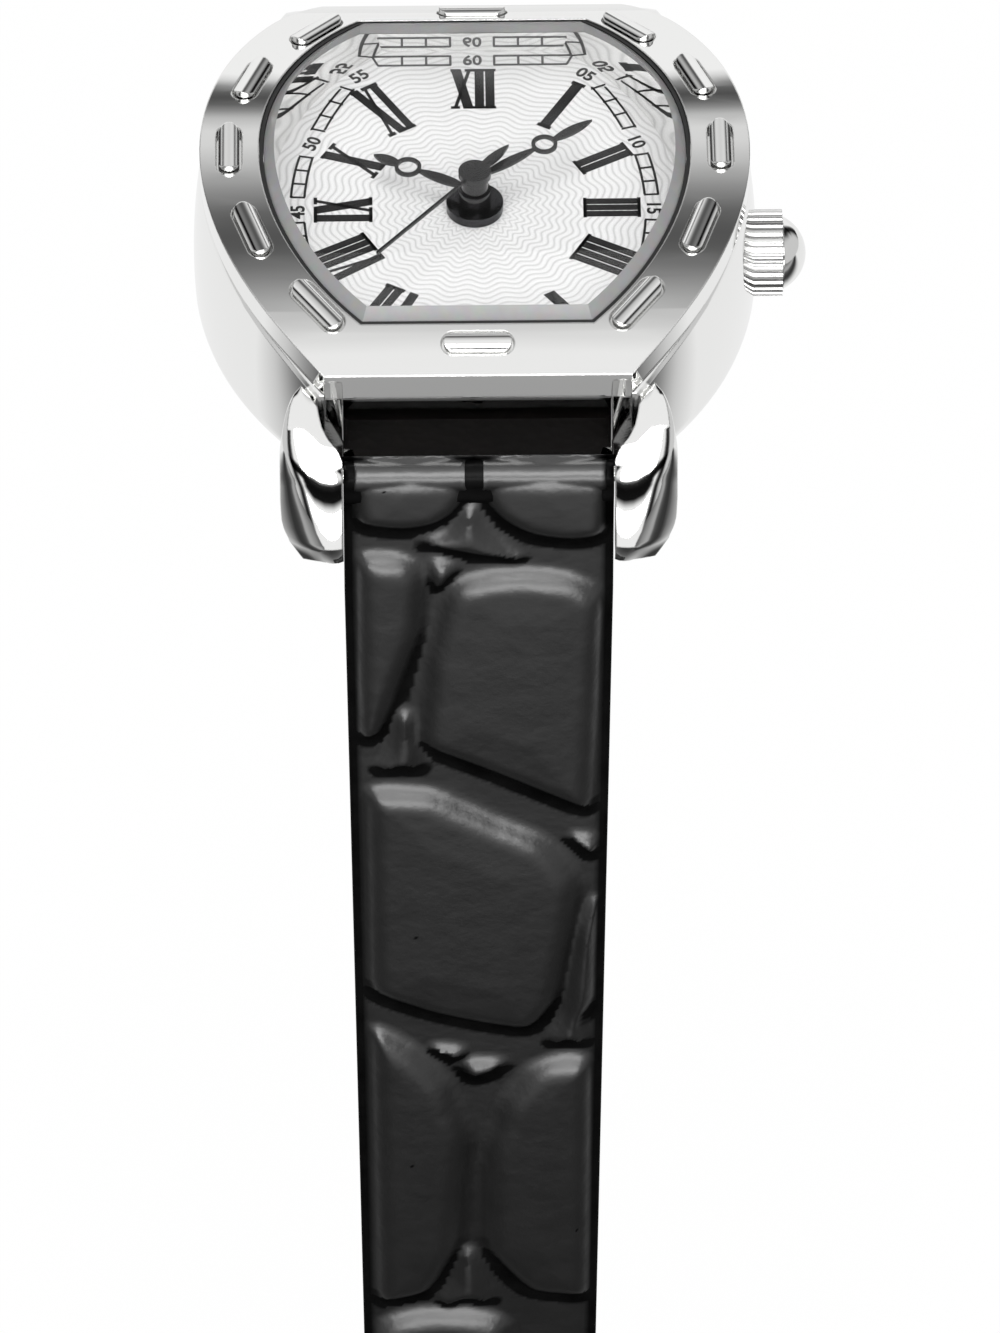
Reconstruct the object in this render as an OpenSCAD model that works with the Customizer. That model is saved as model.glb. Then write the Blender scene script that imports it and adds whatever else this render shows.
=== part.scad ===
// Lady's quartz wrist watch with a curved tonneau case, studded bezel and a leather strap.
// Frame: origin at the centre of the case back's outer face, +Z out of the dial,
// +Y to 12 o'clock, +X to 3 o'clock. The 6 o'clock half of the strap hangs straight down, and
// the 12 o'clock half is swung out on its spring bar, with its buckle hanging. Millimetres.

/* [Case] */
// Half width of the bezel, centre to 3 o'clock
bezel_half_w = 14.2; // [13.6:0.1:14.8]
// Half length of the bezel, centre to 12 o'clock
bezel_half_l = 14.35; // [13.9:0.05:14.8]
// Radius of the bezel's curved sides, seen from above
side_r = 19.4; // [18.8:0.1:20.5]
// Height of the bezel's crest over the case back's outer face
bezel_top = 10.6; // [10.2:0.1:11.2]
// Radius of the curve that the bezel follows from 12 to 6 o'clock
dome_r = 46; // [42:0.5:52]
// Radius of the bezel's rounded ends at 12 and 6 o'clock
end_r = 11; // [10:0.5:14]
// Distance from the centre at which those ends start to round
end_from = 11; // [10.6:0.1:11.4]
// Thickness of the bezel on the case
bezel_t = 1.3; // [1.1:0.1:1.6]
// Width of the bezel at 3 and 9 o'clock
bezel_band_side = 3.05; // [2.9:0.05:3.2]
// Width of the bezel at 12 and 6 o'clock
bezel_band_end = 2.6; // [2.4:0.05:2.75]
// Thickness of the bezel's lip round the crystal
lip_t = 0.9; // [0.7:0.05:1]
// How far the case's belly swells past the bezel
belly_out = 0.4; // [0:0.1:0.6]
// Height of the case's belly over the back
belly_z = 3.6; // [3:0.1:5]
// Radius of the case's lower edge
edge_r = 1.2; // [0.6:0.1:1.4]
// Thickness of the case back's flange
back_flange_t = 0.7; // [0.5:0.1:0.9]
// Depth of the case back's plug
back_plug_t = 0.6; // [0.5:0.05:0.7]
// Depth of the recess in the case wall between the lugs
lug_recess = 1.1; // [0.9:0.05:1.2]

/* [Lugs] */
// Clear width between a pair of lugs
lug_gap = 14.1; // [13.6:0.1:14.6]
// Greatest width of one lug
lug_w = 3.05; // [2.8:0.05:3.3]
// Reach of a lug's tip from the centre of the case
lug_reach = 19.8; // [19.5:0.1:20.2]
// Distance of the spring bar from the centre of the case
bar_y = 16.7; // [16.4:0.1:17]
// Height of the spring bar and of the crown's stem
bar_z = 3.1; // [2.9:0.1:3.3]

/* [Crystal and dial] */
// How far the crystal's crest stands over the bezel's
crystal_proud = 0.3; // [0.1:0.05:0.5]
// Thickness of the crystal
crystal_t = 1.2; // [1:0.05:1.3]
// Width of the gasket round the crystal
gasket_w = 0.25; // [0.2:0.05:0.35]
// Height of the dial's face
dial_z = 6.3; // [6.1:0.1:6.5]
// Thickness of the dial
dial_t = 0.4; // [0.3:0.05:0.5]
// How far the rehaut stands in from the bezel's opening at 3 and 9 o'clock
rehaut_in_side = 0.1; // [0:0.05:0.3]
// How far the rehaut lies out from the bezel's opening at 12 and 6 o'clock
rehaut_out_end = 0.1; // [0:0.05:0.3]
// Wall of the rehaut at the sides
rehaut_wall = 0.65; // [0.5:0.05:0.7]

/* [Studs] */
// Length of a bezel stud
stud_l = 3.5; // [3:0.1:3.7]
// Width of a bezel stud
stud_w = 1.1; // [0.8:0.05:1.3]
// Depth of the pocket that a stud sits in
pocket_d = 0.4; // [0.3:0.05:0.5]
// Gap round a stud in its pocket
pocket_gap = 0.12; // [0.08:0.02:0.2]
// Height of a stud's crest over the bezel
stud_rise = 0.35; // [0.2:0.05:0.45]

/* [Hands] */
// Length of the hour hand from the centre
hour_l = 5.9; // [5:0.1:6.5]
// Length of the minute hand from the centre
minute_l = 7.6; // [7:0.1:8.5]
// Length of the second hand from the centre
second_l = 7.9; // [7.2:0.1:8.8]
// Angle of the hour hand, clockwise from 12 o'clock
hour_at = 298; // [0:1:359]
// Angle of the minute hand, clockwise from 12 o'clock
minute_at = 54; // [0:1:359]
// Angle of the second hand, clockwise from 12 o'clock
second_at = 220; // [0:1:359]
// Thickness of a hand
hand_t = 0.16; // [0.12:0.01:0.2]

/* [Crown] */
// Diameter of the crown over its flutes
crown_d = 4.5; // [4.2:0.1:4.7]
// Length of the crown's fluted band
crown_band = 1.5; // [1.2:0.1:1.8]
// Number of flutes round the crown
crown_flutes = 28; // [20:1:32]
// How far the crown pulls out
crown_pull = 1; // [0.8:0.1:1.1]

/* [Strap] */
// Gap between the strap and each lug
strap_gap = 0.15; // [0.1:0.05:0.4]
// Width of the strap at its ends
strap_w_end = 12; // [11:0.1:12.4]
// Thickness of the strap at the lugs
strap_t = 2.2; // [2:0.1:2.4]
// Thickness of the lining
lining_t = 0.8; // [0.6:0.1:0.9]
// Length of the long half below its spring bar
strap_long_l = 104; // [95:1:115]
// Length of the short half from its spring bar to the buckle's bar
strap_short_l = 63; // [58:1:70]
// Radius of a hole for the buckle's tongue
hole_r = 0.8; // [0.7:0.05:0.9]
// Distance between the tongue's holes
hole_step = 5.5; // [5:0.5:7]
// Number of holes for the tongue
hole_count = 5; // [4:1:8]
// Distance from the long half's tip to its first hole
hole_from_tip = 14; // [12:1:28]
// Height of a keeper along the strap
keeper_h = 4.5; // [4:0.5:5]
// Thickness of a keeper's leather
keeper_t = 1; // [0.8:0.1:1.2]
// Travel of the loose keeper along the strap
keeper_travel = 12; // [8:1:16]
// Angle that the short half is swung out by, from hanging straight down
short_tilt = 38; // [0:1:60]

/* [Buckle] */
// Length of the buckle's window, bar to cross bar
buckle_l = 9; // [8.5:0.5:10]
// Diameter of the buckle's cross bar
buckle_bar_d = 2; // [1.8:0.1:2.2]
// Width of the tongue
tongue_w = 1.4; // [1.2:0.1:1.5]

/* [Hidden] */
$fn = 96;

// Clearances
slip = 0.05;
run = 0.03;
big = 80;

// Curve of the bezel seen from the side: one long arc, and a tighter arc at each end
dome_z = bezel_top - dome_r;
end_a = asin(end_from / dome_r);
end_y = (dome_r - end_r) * sin(end_a);
end_z = dome_z + (dome_r - end_r) * cos(end_a);

// Outlines seen from above
opening_half_w = bezel_half_w - bezel_band_side;
opening_half_l = bezel_half_l - bezel_band_end;
opening_r = side_r - bezel_band_side - 0.45;
rehaut_half_w = opening_half_w - rehaut_in_side;
rehaut_half_l = opening_half_l + rehaut_out_end;
rehaut_r = opening_r;
cavity_half_w = rehaut_half_w + rehaut_wall + slip;
cavity_half_l = rehaut_half_l + rehaut_wall + slip;
cavity_r = rehaut_r + rehaut_wall + slip;

// Case middle
body_r = side_r + belly_out;
belly_r = 35;
body_foot_r = body_r - edge_r;
recess_top = 5.9;
flange_inset = 0.1;
flange_half_w = bezel_half_w + belly_out - edge_r - flange_inset;
flange_half_l = bezel_half_l - lug_recess - flange_inset;
flange_r = body_foot_r - flange_inset;
back_gasket_w = 0.5;

// Lugs
lug_x0 = lug_gap / 2;
lug_top_r = 11.6;
lug_top_y = lug_reach - 10.9;
lug_top_z = -3.2;
lug_edge_r = 1.2;
lug_foot_z = -0.7;
lug_root_y = 11.5;
lug_root_top = 7;
lug_seat_z = 6;
lug_side_r = 45;
lug_side_y = 16;
lug_tip_r = 9.2;
lug_tip_y = lug_reach - 8.8;
lug_tip_z = 3.6;
lug_hollow_r = 8;
lug_hollow_y = 12;
lug_hollow_z = 0.3;

// Spring bars
tube_r = 0.65;
tube_wall = 0.2;
tip_r = 0.4;
tip_depth = 0.9;
tip_tail = 2.2;

// Outline with straight ends and two arcs for sides, a plate of height h from z = 0
module tonneau(half_w, half_l, r, h) {
  intersection() {
    translate([half_w - r, 0, 0]) cylinder(r = r, h = h);
    translate([r - half_w, 0, 0]) cylinder(r = r, h = h);
    translate([-half_w - 1, -half_l, 0]) cube([2 * half_w + 2, 2 * half_l, h]);
  }
}

// Everything that lies a depth below the curve that arches from 12 to 6 o'clock
module under_dome(depth) {
  far = dome_r + 1;
  rotate([90, 0, 90]) translate([0, 0, -big / 2]) linear_extrude(big) {
    intersection() {
      translate([0, dome_z]) circle(r = dome_r - depth, $fn = 360);
      translate([0, dome_z]) polygon([[0, 0], [far * tan(end_a), far], [-far * tan(end_a), far]]);
    }
    for (end = [-1, 1]) translate([end * end_y, end_z]) circle(r = end_r - depth, $fn = 180);
    translate([-end_y - end_r + depth, end_z - big]) square([2 * (end_y + end_r - depth), big]);
  }
}

// Height and slope of that curve at a distance y from the centre
function end_slope(y) = asin((abs(y) - end_y) / end_r) * sign(y);
function dome_slope(y) = abs(y) < end_from ? asin(y / dome_r) : end_slope(y);
function dome_height(y) = abs(y) < end_from ? dome_z + dome_r * cos(dome_slope(y))
  : end_z + end_r * cos(end_slope(y));

// A cylinder along +X that starts at x
module rod_x(x, y, z, r, l) {
  translate([x, y, z]) rotate([0, 90, 0]) cylinder(r = r, h = l);
}

// Both halves of a pair, left and right
module left_and_right() {
  children();
  mirror([1, 0, 0]) children();
}

// Both halves of a pair, 12 and 6 o'clock
module both_ends() {
  children();
  mirror([0, 1, 0]) children();
}

// Half section of the case's side, turned about the centre of the side's arc
module side_section() {
  intersection() {
    translate([body_r - belly_r, belly_z]) circle(r = belly_r, $fn = 360);
    union() {
      translate([0, back_flange_t + edge_r]) square([body_r + 1, bezel_top]);
      translate([0, back_flange_t]) square([body_foot_r, edge_r + 1]);
      translate([body_foot_r, back_flange_t + edge_r]) circle(r = edge_r);
    }
  }
}

module case_block() {
  intersection() {
    translate([body_r - bezel_half_w - belly_out, 0, 0]) rotate_extrude() side_section();
    translate([bezel_half_w + belly_out - body_r, 0, 0]) rotate_extrude() side_section();
    translate([-big / 2, -bezel_half_l, 0]) cube([big, 2 * bezel_half_l, bezel_top]);
    under_dome(bezel_t);
  }
}

// One claw shaped lug, at the right of 12 o'clock
module lug() {
  intersection() {
    translate([0, lug_top_y, lug_top_z]) rotate([90, 0, 90]) rotate_extrude() lug_section();
    translate([lug_x0 + lug_w - lug_side_r, lug_side_y, -big / 2])
      cylinder(r = lug_side_r, h = big, $fn = 360);
    rod_x(lug_x0 - 1, lug_tip_y, lug_tip_z, lug_tip_r, lug_w + 2);
    difference() {
      translate([lug_x0, lug_root_y, lug_foot_z])
        cube([lug_w + 1, lug_reach, lug_root_top - lug_foot_z]);
      rod_x(lug_x0 - 1, lug_hollow_y, lug_hollow_z - lug_hollow_r, lug_hollow_r, lug_w + 3);
    }
  }
}

// Section across a lug's back, from its inner face to its rounded outer edge
module lug_section() {
  translate([0, lug_x0 - 1]) square([lug_top_r, lug_w + 1 - lug_edge_r]);
  translate([0, lug_x0 - 1]) square([lug_top_r - lug_edge_r, lug_w + 1]);
  translate([lug_top_r - lug_edge_r, lug_x0 + lug_w - lug_edge_r]) circle(r = lug_edge_r);
}

// Crown seat in the case wall
stem_z = bar_z;
stem_r = 0.45;
crown_x = 13.65;
crown_recess_r = crown_d / 2 + 0.3;
crown_tube_r = 0.95;
crown_tube_bore = stem_r + 0.1;
crown_tube_out = 0.9;
pipe_x0 = cavity_half_w - 0.4;

module case_middle() color("gainsboro") difference() {
  union() {
    case_block();
    difference() {
      left_and_right() both_ends() lug();
      translate([0, 0, lug_seat_z]) tonneau(bezel_half_w + slip, bezel_half_l + slip, side_r + slip, bezel_top);
      translate([0, 0, -1]) tonneau(flange_half_w + slip, flange_half_l + slip, flange_r + slip,
        back_flange_t + 1 + slip);
    }
  }
  translate([0, 0, -1]) tonneau(cavity_half_w, cavity_half_l, cavity_r, bezel_top + 2);
  both_ends() translate([-lug_x0, bezel_half_l - lug_recess, -1])
    cube([lug_gap, lug_recess + 1, recess_top + 1]);
  both_ends() rod_x(-lug_x0 - tip_depth, bar_y, bar_z, tip_r + run, lug_gap + 2 * tip_depth);
  rod_x(crown_x - 0.1, 0, stem_z, crown_recess_r, 5);
  rod_x(cavity_half_w - 1, 0, stem_z, crown_tube_r, 5);
}

// Places its children on the curve of the bezel, standing square to it
module on_dome(x, y) {
  translate([x, y, dome_height(y)]) rotate([-dome_slope(y), 0, 0]) children();
}

// The studs at each side stand on one arc, and each lies along the bezel's edge beside it
stud_arc_r = 14.8;
stud_arc_x = (bezel_half_w + opening_half_w) / 2 - stud_arc_r;
stud_end_y = bezel_half_l - 1.55;
stud_angles = [-46, -23.2, 0, 23.2, 46];

module at_studs() {
  for (end = [-1, 1]) on_dome(0, end * stud_end_y) children();
  for (side = [0, 1]) mirror([side, 0, 0]) for (a = stud_angles) {
    x = stud_arc_x + stud_arc_r * cos(a);
    y = stud_arc_r * sin(a);
    on_dome(x, y) rotate([0, 0, 90 + atan2(y, x - bezel_half_w + side_r)]) children();
  }
}

// Slot with round ends, long across X, from z0 up
module pill(l, w, z0, h) {
  translate([-(l - w) / 2, -w / 2, z0]) cube([l - w, w, h]);
  for (end = [-1, 1]) translate([end * (l - w) / 2, 0, z0]) cylinder(r = w / 2, h = h, $fn = 48);
}

module bezel() color("silver") difference() {
  intersection() {
    tonneau(bezel_half_w, bezel_half_l, side_r, bezel_top + 1);
    under_dome(0);
  }
  under_dome(bezel_t);
  translate([0, 0, -1]) tonneau(opening_half_w, opening_half_l, opening_r, bezel_top + 3);
  intersection() {
    tonneau(cavity_half_w, cavity_half_l, cavity_r, bezel_top + 1);
    under_dome(lip_t);
  }
  at_studs() pill(stud_l + 2 * pocket_gap, stud_w + 2 * pocket_gap, -pocket_d, 2);
}

// A stud is a long bead, rounded across, that stands up out of its pocket
stud_crown_r = 0.75;

module stud() {
  intersection() {
    pill(stud_l, stud_w, -pocket_d, pocket_d + stud_rise);
    translate([-stud_l / 2, 0, stud_rise - stud_crown_r])
      rotate([0, 90, 0]) cylinder(r = stud_crown_r, h = stud_l);
  }
}

module bezel_studs() color("whitesmoke") at_studs() stud();

module crystal() color("lightcyan", 0.4) difference() {
  intersection() {
    tonneau(opening_half_w - gasket_w, opening_half_l - gasket_w, opening_r - gasket_w, bezel_top + 2);
    under_dome(-crystal_proud);
  }
  under_dome(crystal_t - crystal_proud);
}

gasket_sunk = 0.1;

module crystal_gasket() color("dimgray") difference() {
  intersection() {
    tonneau(opening_half_w - slip / 2, opening_half_l - slip / 2, opening_r - slip / 2, bezel_top + 1);
    under_dome(gasket_sunk);
  }
  translate([0, 0, -1]) tonneau(opening_half_w - gasket_w + slip / 2,
    opening_half_l - gasket_w + slip / 2, opening_r - gasket_w + slip / 2, bezel_top + 3);
  under_dome(lip_t);
}

module rehaut() color("lightgray") difference() {
  intersection() {
    translate([0, 0, dial_z]) tonneau(cavity_half_w - slip, cavity_half_l - slip, cavity_r - slip, bezel_top);
    under_dome(lip_t);
  }
  tonneau(rehaut_half_w, rehaut_half_l, rehaut_r, bezel_top + 1);
}

module case_back() color("darkgray") {
  tonneau(flange_half_w, flange_half_l, flange_r, back_flange_t);
  difference() {
    plug_in = back_gasket_w + slip;
    translate([0, 0, back_flange_t - 0.2])
      tonneau(cavity_half_w - plug_in, cavity_half_l - plug_in, cavity_r - plug_in, back_plug_t + 0.2);
    translate([0, 0, back_flange_t]) tonneau(cavity_half_w - plug_in - 1,
      cavity_half_l - plug_in - 1, cavity_r - plug_in - 1, back_plug_t + 1);
  }
}

module back_gasket() color("black") difference() {
  z0 = back_flange_t;
  translate([0, 0, z0]) tonneau(cavity_half_w - slip / 2, cavity_half_l - slip / 2,
    cavity_r - slip / 2, back_plug_t - 0.1);
  translate([0, 0, z0 - 1]) tonneau(cavity_half_w - back_gasket_w, cavity_half_l - back_gasket_w,
    cavity_r - back_gasket_w, back_plug_t + 2);
}

module crown_tube() color("silver") difference() {
  rod_x(pipe_x0, 0, stem_z, crown_tube_r - slip / 5, crown_x + crown_tube_out - pipe_x0);
  rod_x(pipe_x0 - 1, 0, stem_z, crown_tube_bore, 6);
}

module spring_bar_tubes() color("gray") both_ends() difference() {
  rod_x(-lug_x0 + 0.3, bar_y, bar_z, tube_r, lug_gap - 0.6);
  rod_x(-lug_x0 - 1, bar_y, bar_z, tube_r - tube_wall, lug_gap + 2);
}

module spring_bar_tips() color("silver") both_ends() left_and_right()
  rod_x(lug_x0 + tip_depth - 0.05 - tip_tail, bar_y, bar_z, tip_r, tip_tail);

// Levels of the movement, up from the case back
main_top = 4.75;
main_bottom = 3.75;
bridge_top = 2.15;
bridge_bottom = 1.75;
battery_bottom = 1.65;
holder_bottom = back_flange_t + back_plug_t + slip;

// Size of the movement, and where its pieces stand
move_half_w = 7.6;
move_half_l = 8.9;
move_corner_r = 2;
skirt_t = 0.5;
third_at = 115;
fifth_at = 200;
rotor_at = 230;
minute_wheel_at = 330;
battery_r = 3.4;
battery_x = 3.55;
battery_y = -5.3;
battery_gap = 0.1;
pillars = [[-4, 5.6], [2.3, 5.4], [-0.9, -4.5]];
pillar_r = 0.6;
board_posts = [[4.9, 7.4], [3.9, 4]];
post_r = 0.4;
screw_r = 0.25;
screw_head_r = 0.45;
screw_head_t = 0.25;
foot_places = [[-5.2, -7.2], [5.2, 7.2]];
foot_r = 0.35;
foot_l = 1.8;

// Teeth of the train: each wheel and the pinion that it meshes with
pinion_n = 8;
fifth_n = 48;
fourth_n = 40;
third_n = 60;
center_n = 64;
cannon_n = 10;
minute_n = 30;
hour_n = 32;
fifth_m = 0.075;
fourth_m = 0.1;
center_m = 0.085;
third_m = center_m * (pinion_n + center_n) / (pinion_n + third_n);
minute_m = 0.1;
hour_m = minute_m * (cannon_n + minute_n) / (pinion_n + hour_n);
mesh_slack = 0.02;
third_d = center_m * (pinion_n + center_n) / 2 + mesh_slack;
fifth_d = fourth_m * (pinion_n + fourth_n) / 2 + mesh_slack;
rotor_d = fifth_m * (pinion_n + fifth_n) / 2 + mesh_slack;
minute_d = minute_m * (cannon_n + minute_n) / 2 + mesh_slack;

function polar(d, a) = [d * cos(a), d * sin(a)];
third_p = polar(third_d, third_at);
fifth_p = polar(fifth_d, fifth_at);
rotor_p = fifth_p + polar(rotor_d, rotor_at);
minute_p = polar(minute_d, minute_wheel_at);

// Arbors and pipes on the centre line, each inside the next
arbor_r = 0.12;
second_arbor_r = 0.12;
center_pipe_r = 0.24;
cannon_pipe_r = 0.36;
hour_pipe_r = 0.58;
stud_pin_r = 0.15;
center_hub_r = 0.5;

// Levels and thickness of the wheels, and the rotor's magnet in its stator
fourth_z = 2.35;
third_z = 2.6;
fifth_z = 2.9;
center_z = 3.2;
wheel_t = 0.15;
pinion_h = 0.4;
magnet_r = 0.55;
magnet_h = 0.45;
hour_hand_z = 7.5;
minute_hand_z = 8.26;
second_hand_z = 8.66;

module at(p, z) {
  translate([p[0], p[1], z]) children();
}

// Straight sided teeth with root and tip lands, tooth 0 on the +X side
wheel_add = 0.85;
pinion_add = 0.6;
gear_ded = 1.15;
root_share = 0.3;
tip_share = 0.1;

module teeth(n, m, add, t) {
  pitch_a = 360 / n;
  root = m * (n / 2 - gear_ded);
  tip = m * (n / 2 + add);
  linear_extrude(t) polygon([for (i = [0:n - 1]) for (k = [[root, -root_share], [tip, -tip_share],
    [tip, tip_share], [root, root_share]]) polar(k[0], (i + k[1]) * pitch_a)]);
}

// A wheel shows a tooth towards its pinion, a pinion shows a gap towards its wheel
module wheel(n, m, t, toward) {
  rotate([0, 0, toward]) teeth(n, m, wheel_add, t);
}

module pinion(n, m, t, toward) {
  rotate([0, 0, toward + 180 / n]) teeth(n, m, pinion_add, t);
}

// Five round windows lighten a wheel between its hub and its rim
module windows(n, m) {
  mid = n * m / 4 + 0.1;
  for (i = [0:4]) rotate([0, 0, i * 72]) translate([mid, 0, -1])
    cylinder(r = n * m / 2 * 0.22, h = 10, $fn = 48);
}

module arbor(z0, z1) {
  translate([0, 0, z0]) cylinder(r = arbor_r, h = z1 - z0);
}

module rotor() color("dimgray") at(rotor_p, 0) {
  arbor(bridge_bottom + 0.05, main_bottom + 0.5);
  translate([0, 0, stator_z]) cylinder(r = magnet_r, h = magnet_h);
  translate([0, 0, fifth_z - 0.1]) pinion(pinion_n, fifth_m, pinion_h, rotor_at + 180);
}

module fifth_wheel() color("goldenrod") at(fifth_p, 0) {
  arbor(bridge_bottom + 0.05, main_bottom + 0.5);
  translate([0, 0, fifth_z]) difference() {
    wheel(fifth_n, fifth_m, wheel_t, rotor_at);
    windows(fifth_n, fifth_m);
  }
  translate([0, 0, fourth_z - 0.07]) pinion(pinion_n, fourth_m, fifth_z - fourth_z + 0.08, fifth_at + 180);
}

module fourth_wheel() color("goldenrod") {
  translate([0, 0, bridge_bottom + 0.05])
    cylinder(r = second_arbor_r, h = second_hand_z - bridge_bottom);
  translate([0, 0, fourth_z]) difference() {
    wheel(fourth_n, fourth_m, wheel_t, fifth_at);
    windows(fourth_n, fourth_m);
  }
  translate([0, 0, fourth_z + wheel_t]) pinion(pinion_n, third_m, 0.35, third_at);
}

module third_wheel() color("goldenrod") at(third_p, 0) {
  arbor(bridge_bottom + 0.05, main_bottom + 0.5);
  translate([0, 0, third_z]) difference() {
    wheel(third_n, third_m, wheel_t, third_at + 180);
    windows(third_n, third_m);
  }
  translate([0, 0, third_z + wheel_t]) pinion(pinion_n, center_m, center_z - third_z + 0.1, third_at + 180);
}

module center_wheel() color("goldenrod") difference() {
  union() {
    translate([0, 0, center_z]) difference() {
      wheel(center_n, center_m, wheel_t, third_at);
      windows(center_n, center_m);
    }
    translate([0, 0, center_z - 0.2]) cylinder(r = center_hub_r, h = 0.6);
    translate([0, 0, center_z - 0.2]) cylinder(r = center_pipe_r, h = minute_hand_z - center_z - 0.1);
  }
  translate([0, 0, 2]) cylinder(r = second_arbor_r + run, h = 8);
}

module cannon_pinion() color("gray") difference() {
  union() {
    translate([0, 0, main_top + 0.1]) pinion(cannon_n, minute_m, 0.3, minute_wheel_at);
    translate([0, 0, main_top + 0.05]) cylinder(r = cannon_pipe_r, h = minute_hand_z - main_top);
  }
  translate([0, 0, main_top - 1]) cylinder(r = center_pipe_r + run / 2, h = 6);
}

module minute_wheel() color("goldenrod") at(minute_p, main_top + 0.1) difference() {
  union() {
    difference() {
      wheel(minute_n, minute_m, 0.25, minute_wheel_at + 180);
      windows(minute_n, minute_m);
    }
    cylinder(r = 0.55, h = 0.25);
    pinion(pinion_n, hour_m, 0.8, minute_wheel_at + 180);
  }
  translate([0, 0, -1]) cylinder(r = stud_pin_r + run, h = 3);
}

module hour_wheel() color("goldenrod") difference() {
  union() {
    translate([0, 0, main_top + 0.55]) wheel(hour_n, hour_m, 0.2, minute_wheel_at);
    translate([0, 0, main_top + 0.5]) cylinder(r = hour_pipe_r, h = hour_hand_z - main_top - 0.4);
  }
  translate([0, 0, main_top]) cylinder(r = cannon_pipe_r + run, h = 5);
}

// Outline of the movement with rounded corners, made smaller all round by inset
module move_outline(inset) {
  w = move_half_w - inset;
  l = move_half_l - inset;
  r = move_corner_r - inset;
  square([2 * w, 2 * (l - r)], center = true);
  square([2 * (w - r), 2 * l], center = true);
  for (x = [-1, 1]) for (y = [-1, 1]) translate([x * (w - r), y * (l - r)]) circle(r = r);
}

// Posts for the setting lever and the yoke, beside the stem
lever_p = [6.1, 2.4];
yoke_p = [4.4, -1.45];
lever_z = 2.15;
lever_t = 0.27;
lever_post_r = 0.3;

module main_plate() color("lightgray") difference() {
  union() {
    translate([0, 0, main_bottom]) linear_extrude(main_top - main_bottom) move_outline(0);
    translate([0, 0, battery_bottom]) linear_extrude(main_bottom - battery_bottom + 0.1) difference() {
      move_outline(0);
      move_outline(skirt_t);
    }
    for (p = pillars) at(p, bridge_top) cylinder(r = pillar_r, h = main_bottom - bridge_top + 0.1);
    for (p = board_posts) at(p, bridge_top) cylinder(r = post_r, h = main_bottom - bridge_top + 0.1);
    for (p = [lever_p, yoke_p]) at(p, lever_z - 0.1)
      cylinder(r = lever_post_r, h = main_bottom - lever_z + 0.2);
    at(minute_p, main_top - 0.1) cylinder(r = stud_pin_r, h = 1.1);
  }
  translate([0, 0, main_bottom - 1]) cylinder(r = center_pipe_r + run, h = 3);
  for (p = [third_p, fifth_p, rotor_p]) at(p, main_bottom - 0.5) cylinder(r = arbor_r + run, h = 1.05);
  for (p = foot_places) at(p, main_bottom - 1) cylinder(r = foot_r + run, h = 3);
  for (p = pillars) at(p, bridge_top - 0.1) cylinder(r = screw_r + run, h = 1.5);
  rod_x(move_half_w - 2, 0, stem_z, stem_r + run, 3);
  translate([battery_x, battery_y, battery_bottom - 1])
    cylinder(r = battery_r + battery_gap, h = main_bottom - battery_bottom + 1);
}

module train_bridge() color("silver") difference() {
  translate([0, 0, bridge_bottom]) linear_extrude(bridge_top - bridge_bottom)
    polygon([[-4.8, 6.3], [3, 6.3], [3, 4.7], [1.2, 2], [1, -1.2], [-0.2, -3.4], [-0.3, -5.2],
      [-1.7, -5.2], [-4.6, -3.6], [-4.8, -1]]);
  for (p = [[0, 0], third_p, fifth_p, rotor_p]) at(p, 0) cylinder(r = arbor_r + run, h = 4);
  for (p = pillars) at(p, 0) cylinder(r = screw_r + run, h = 4);
}

module bridge_screws() color("slategray") for (p = pillars) at(p, bridge_bottom - screw_head_t) difference() {
  union() {
    cylinder(r = screw_head_r, h = screw_head_t);
    cylinder(r = screw_r, h = screw_head_t + bridge_top - bridge_bottom + 1);
  }
  translate([-1, -0.06, -0.1]) cube([2, 0.12, 0.2]);
}

module circuit_board() color("darkgreen") translate([0, 0, bridge_bottom]) difference() {
  linear_extrude(bridge_top - bridge_bottom)
    polygon([[3.3, 3.4], [6.9, 3.4], [6.9, 7], [5.9, 8.2], [3.3, 8.2]]);
  at(board_posts[0], -1) cylinder(r = 0.2, h = 3);
}

can_r = 0.6;
can_x = 6.2;

module quartz_can() color("silver") translate([can_x, 3.7, bridge_top + can_r])
  rotate([-90, 0, 0]) cylinder(r = can_r, h = 3.6);

module ic_chip() color("black") translate([3.7, 5, bridge_top]) cube([1.4, 1.4, 0.5]);

// Motor: a winding on a soft iron core, whose ends lie on the stator round the rotor
coil_x = -6.2;
coil_r = 0.8;
core_w = 0.5;
stator_z = 2.3;
stator_t = 0.35;
magnet_gap = 0.2;
coil_z = stator_z + stator_t + core_w / 2;

module coil_core() color("gray") translate([coil_x - core_w / 2, -3.7, stator_z + stator_t])
  cube([core_w, 11, core_w]);

module coil_winding() color("peru") difference() {
  translate([coil_x, -1.8, coil_z]) rotate([-90, 0, 0]) {
    cylinder(r = coil_r - 0.1, h = 8);
    for (y = [0, 7.6]) translate([0, 0, y]) cylinder(r = coil_r, h = 0.4);
  }
  translate([coil_x - core_w / 2 - 0.01, -4, coil_z - core_w / 2 - 0.01])
    cube([core_w + 0.02, 12, core_w + 0.02]);
}

module stator() color("gray") difference() {
  translate([0, 0, stator_z]) linear_extrude(stator_t) polygon([[-6.6, -3.9], [-2.6, -3.9],
    [-2.4, -1.6], [-4.65, -1.3], [-4.65, 7.3], [-6.6, 7.3], [-6.6, 6.6], [-5, 6.6], [-5, -1.9],
    [-6.6, -2.9]]);
  at(rotor_p, 0) cylinder(r = magnet_r + magnet_gap, h = 5);
}

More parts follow.
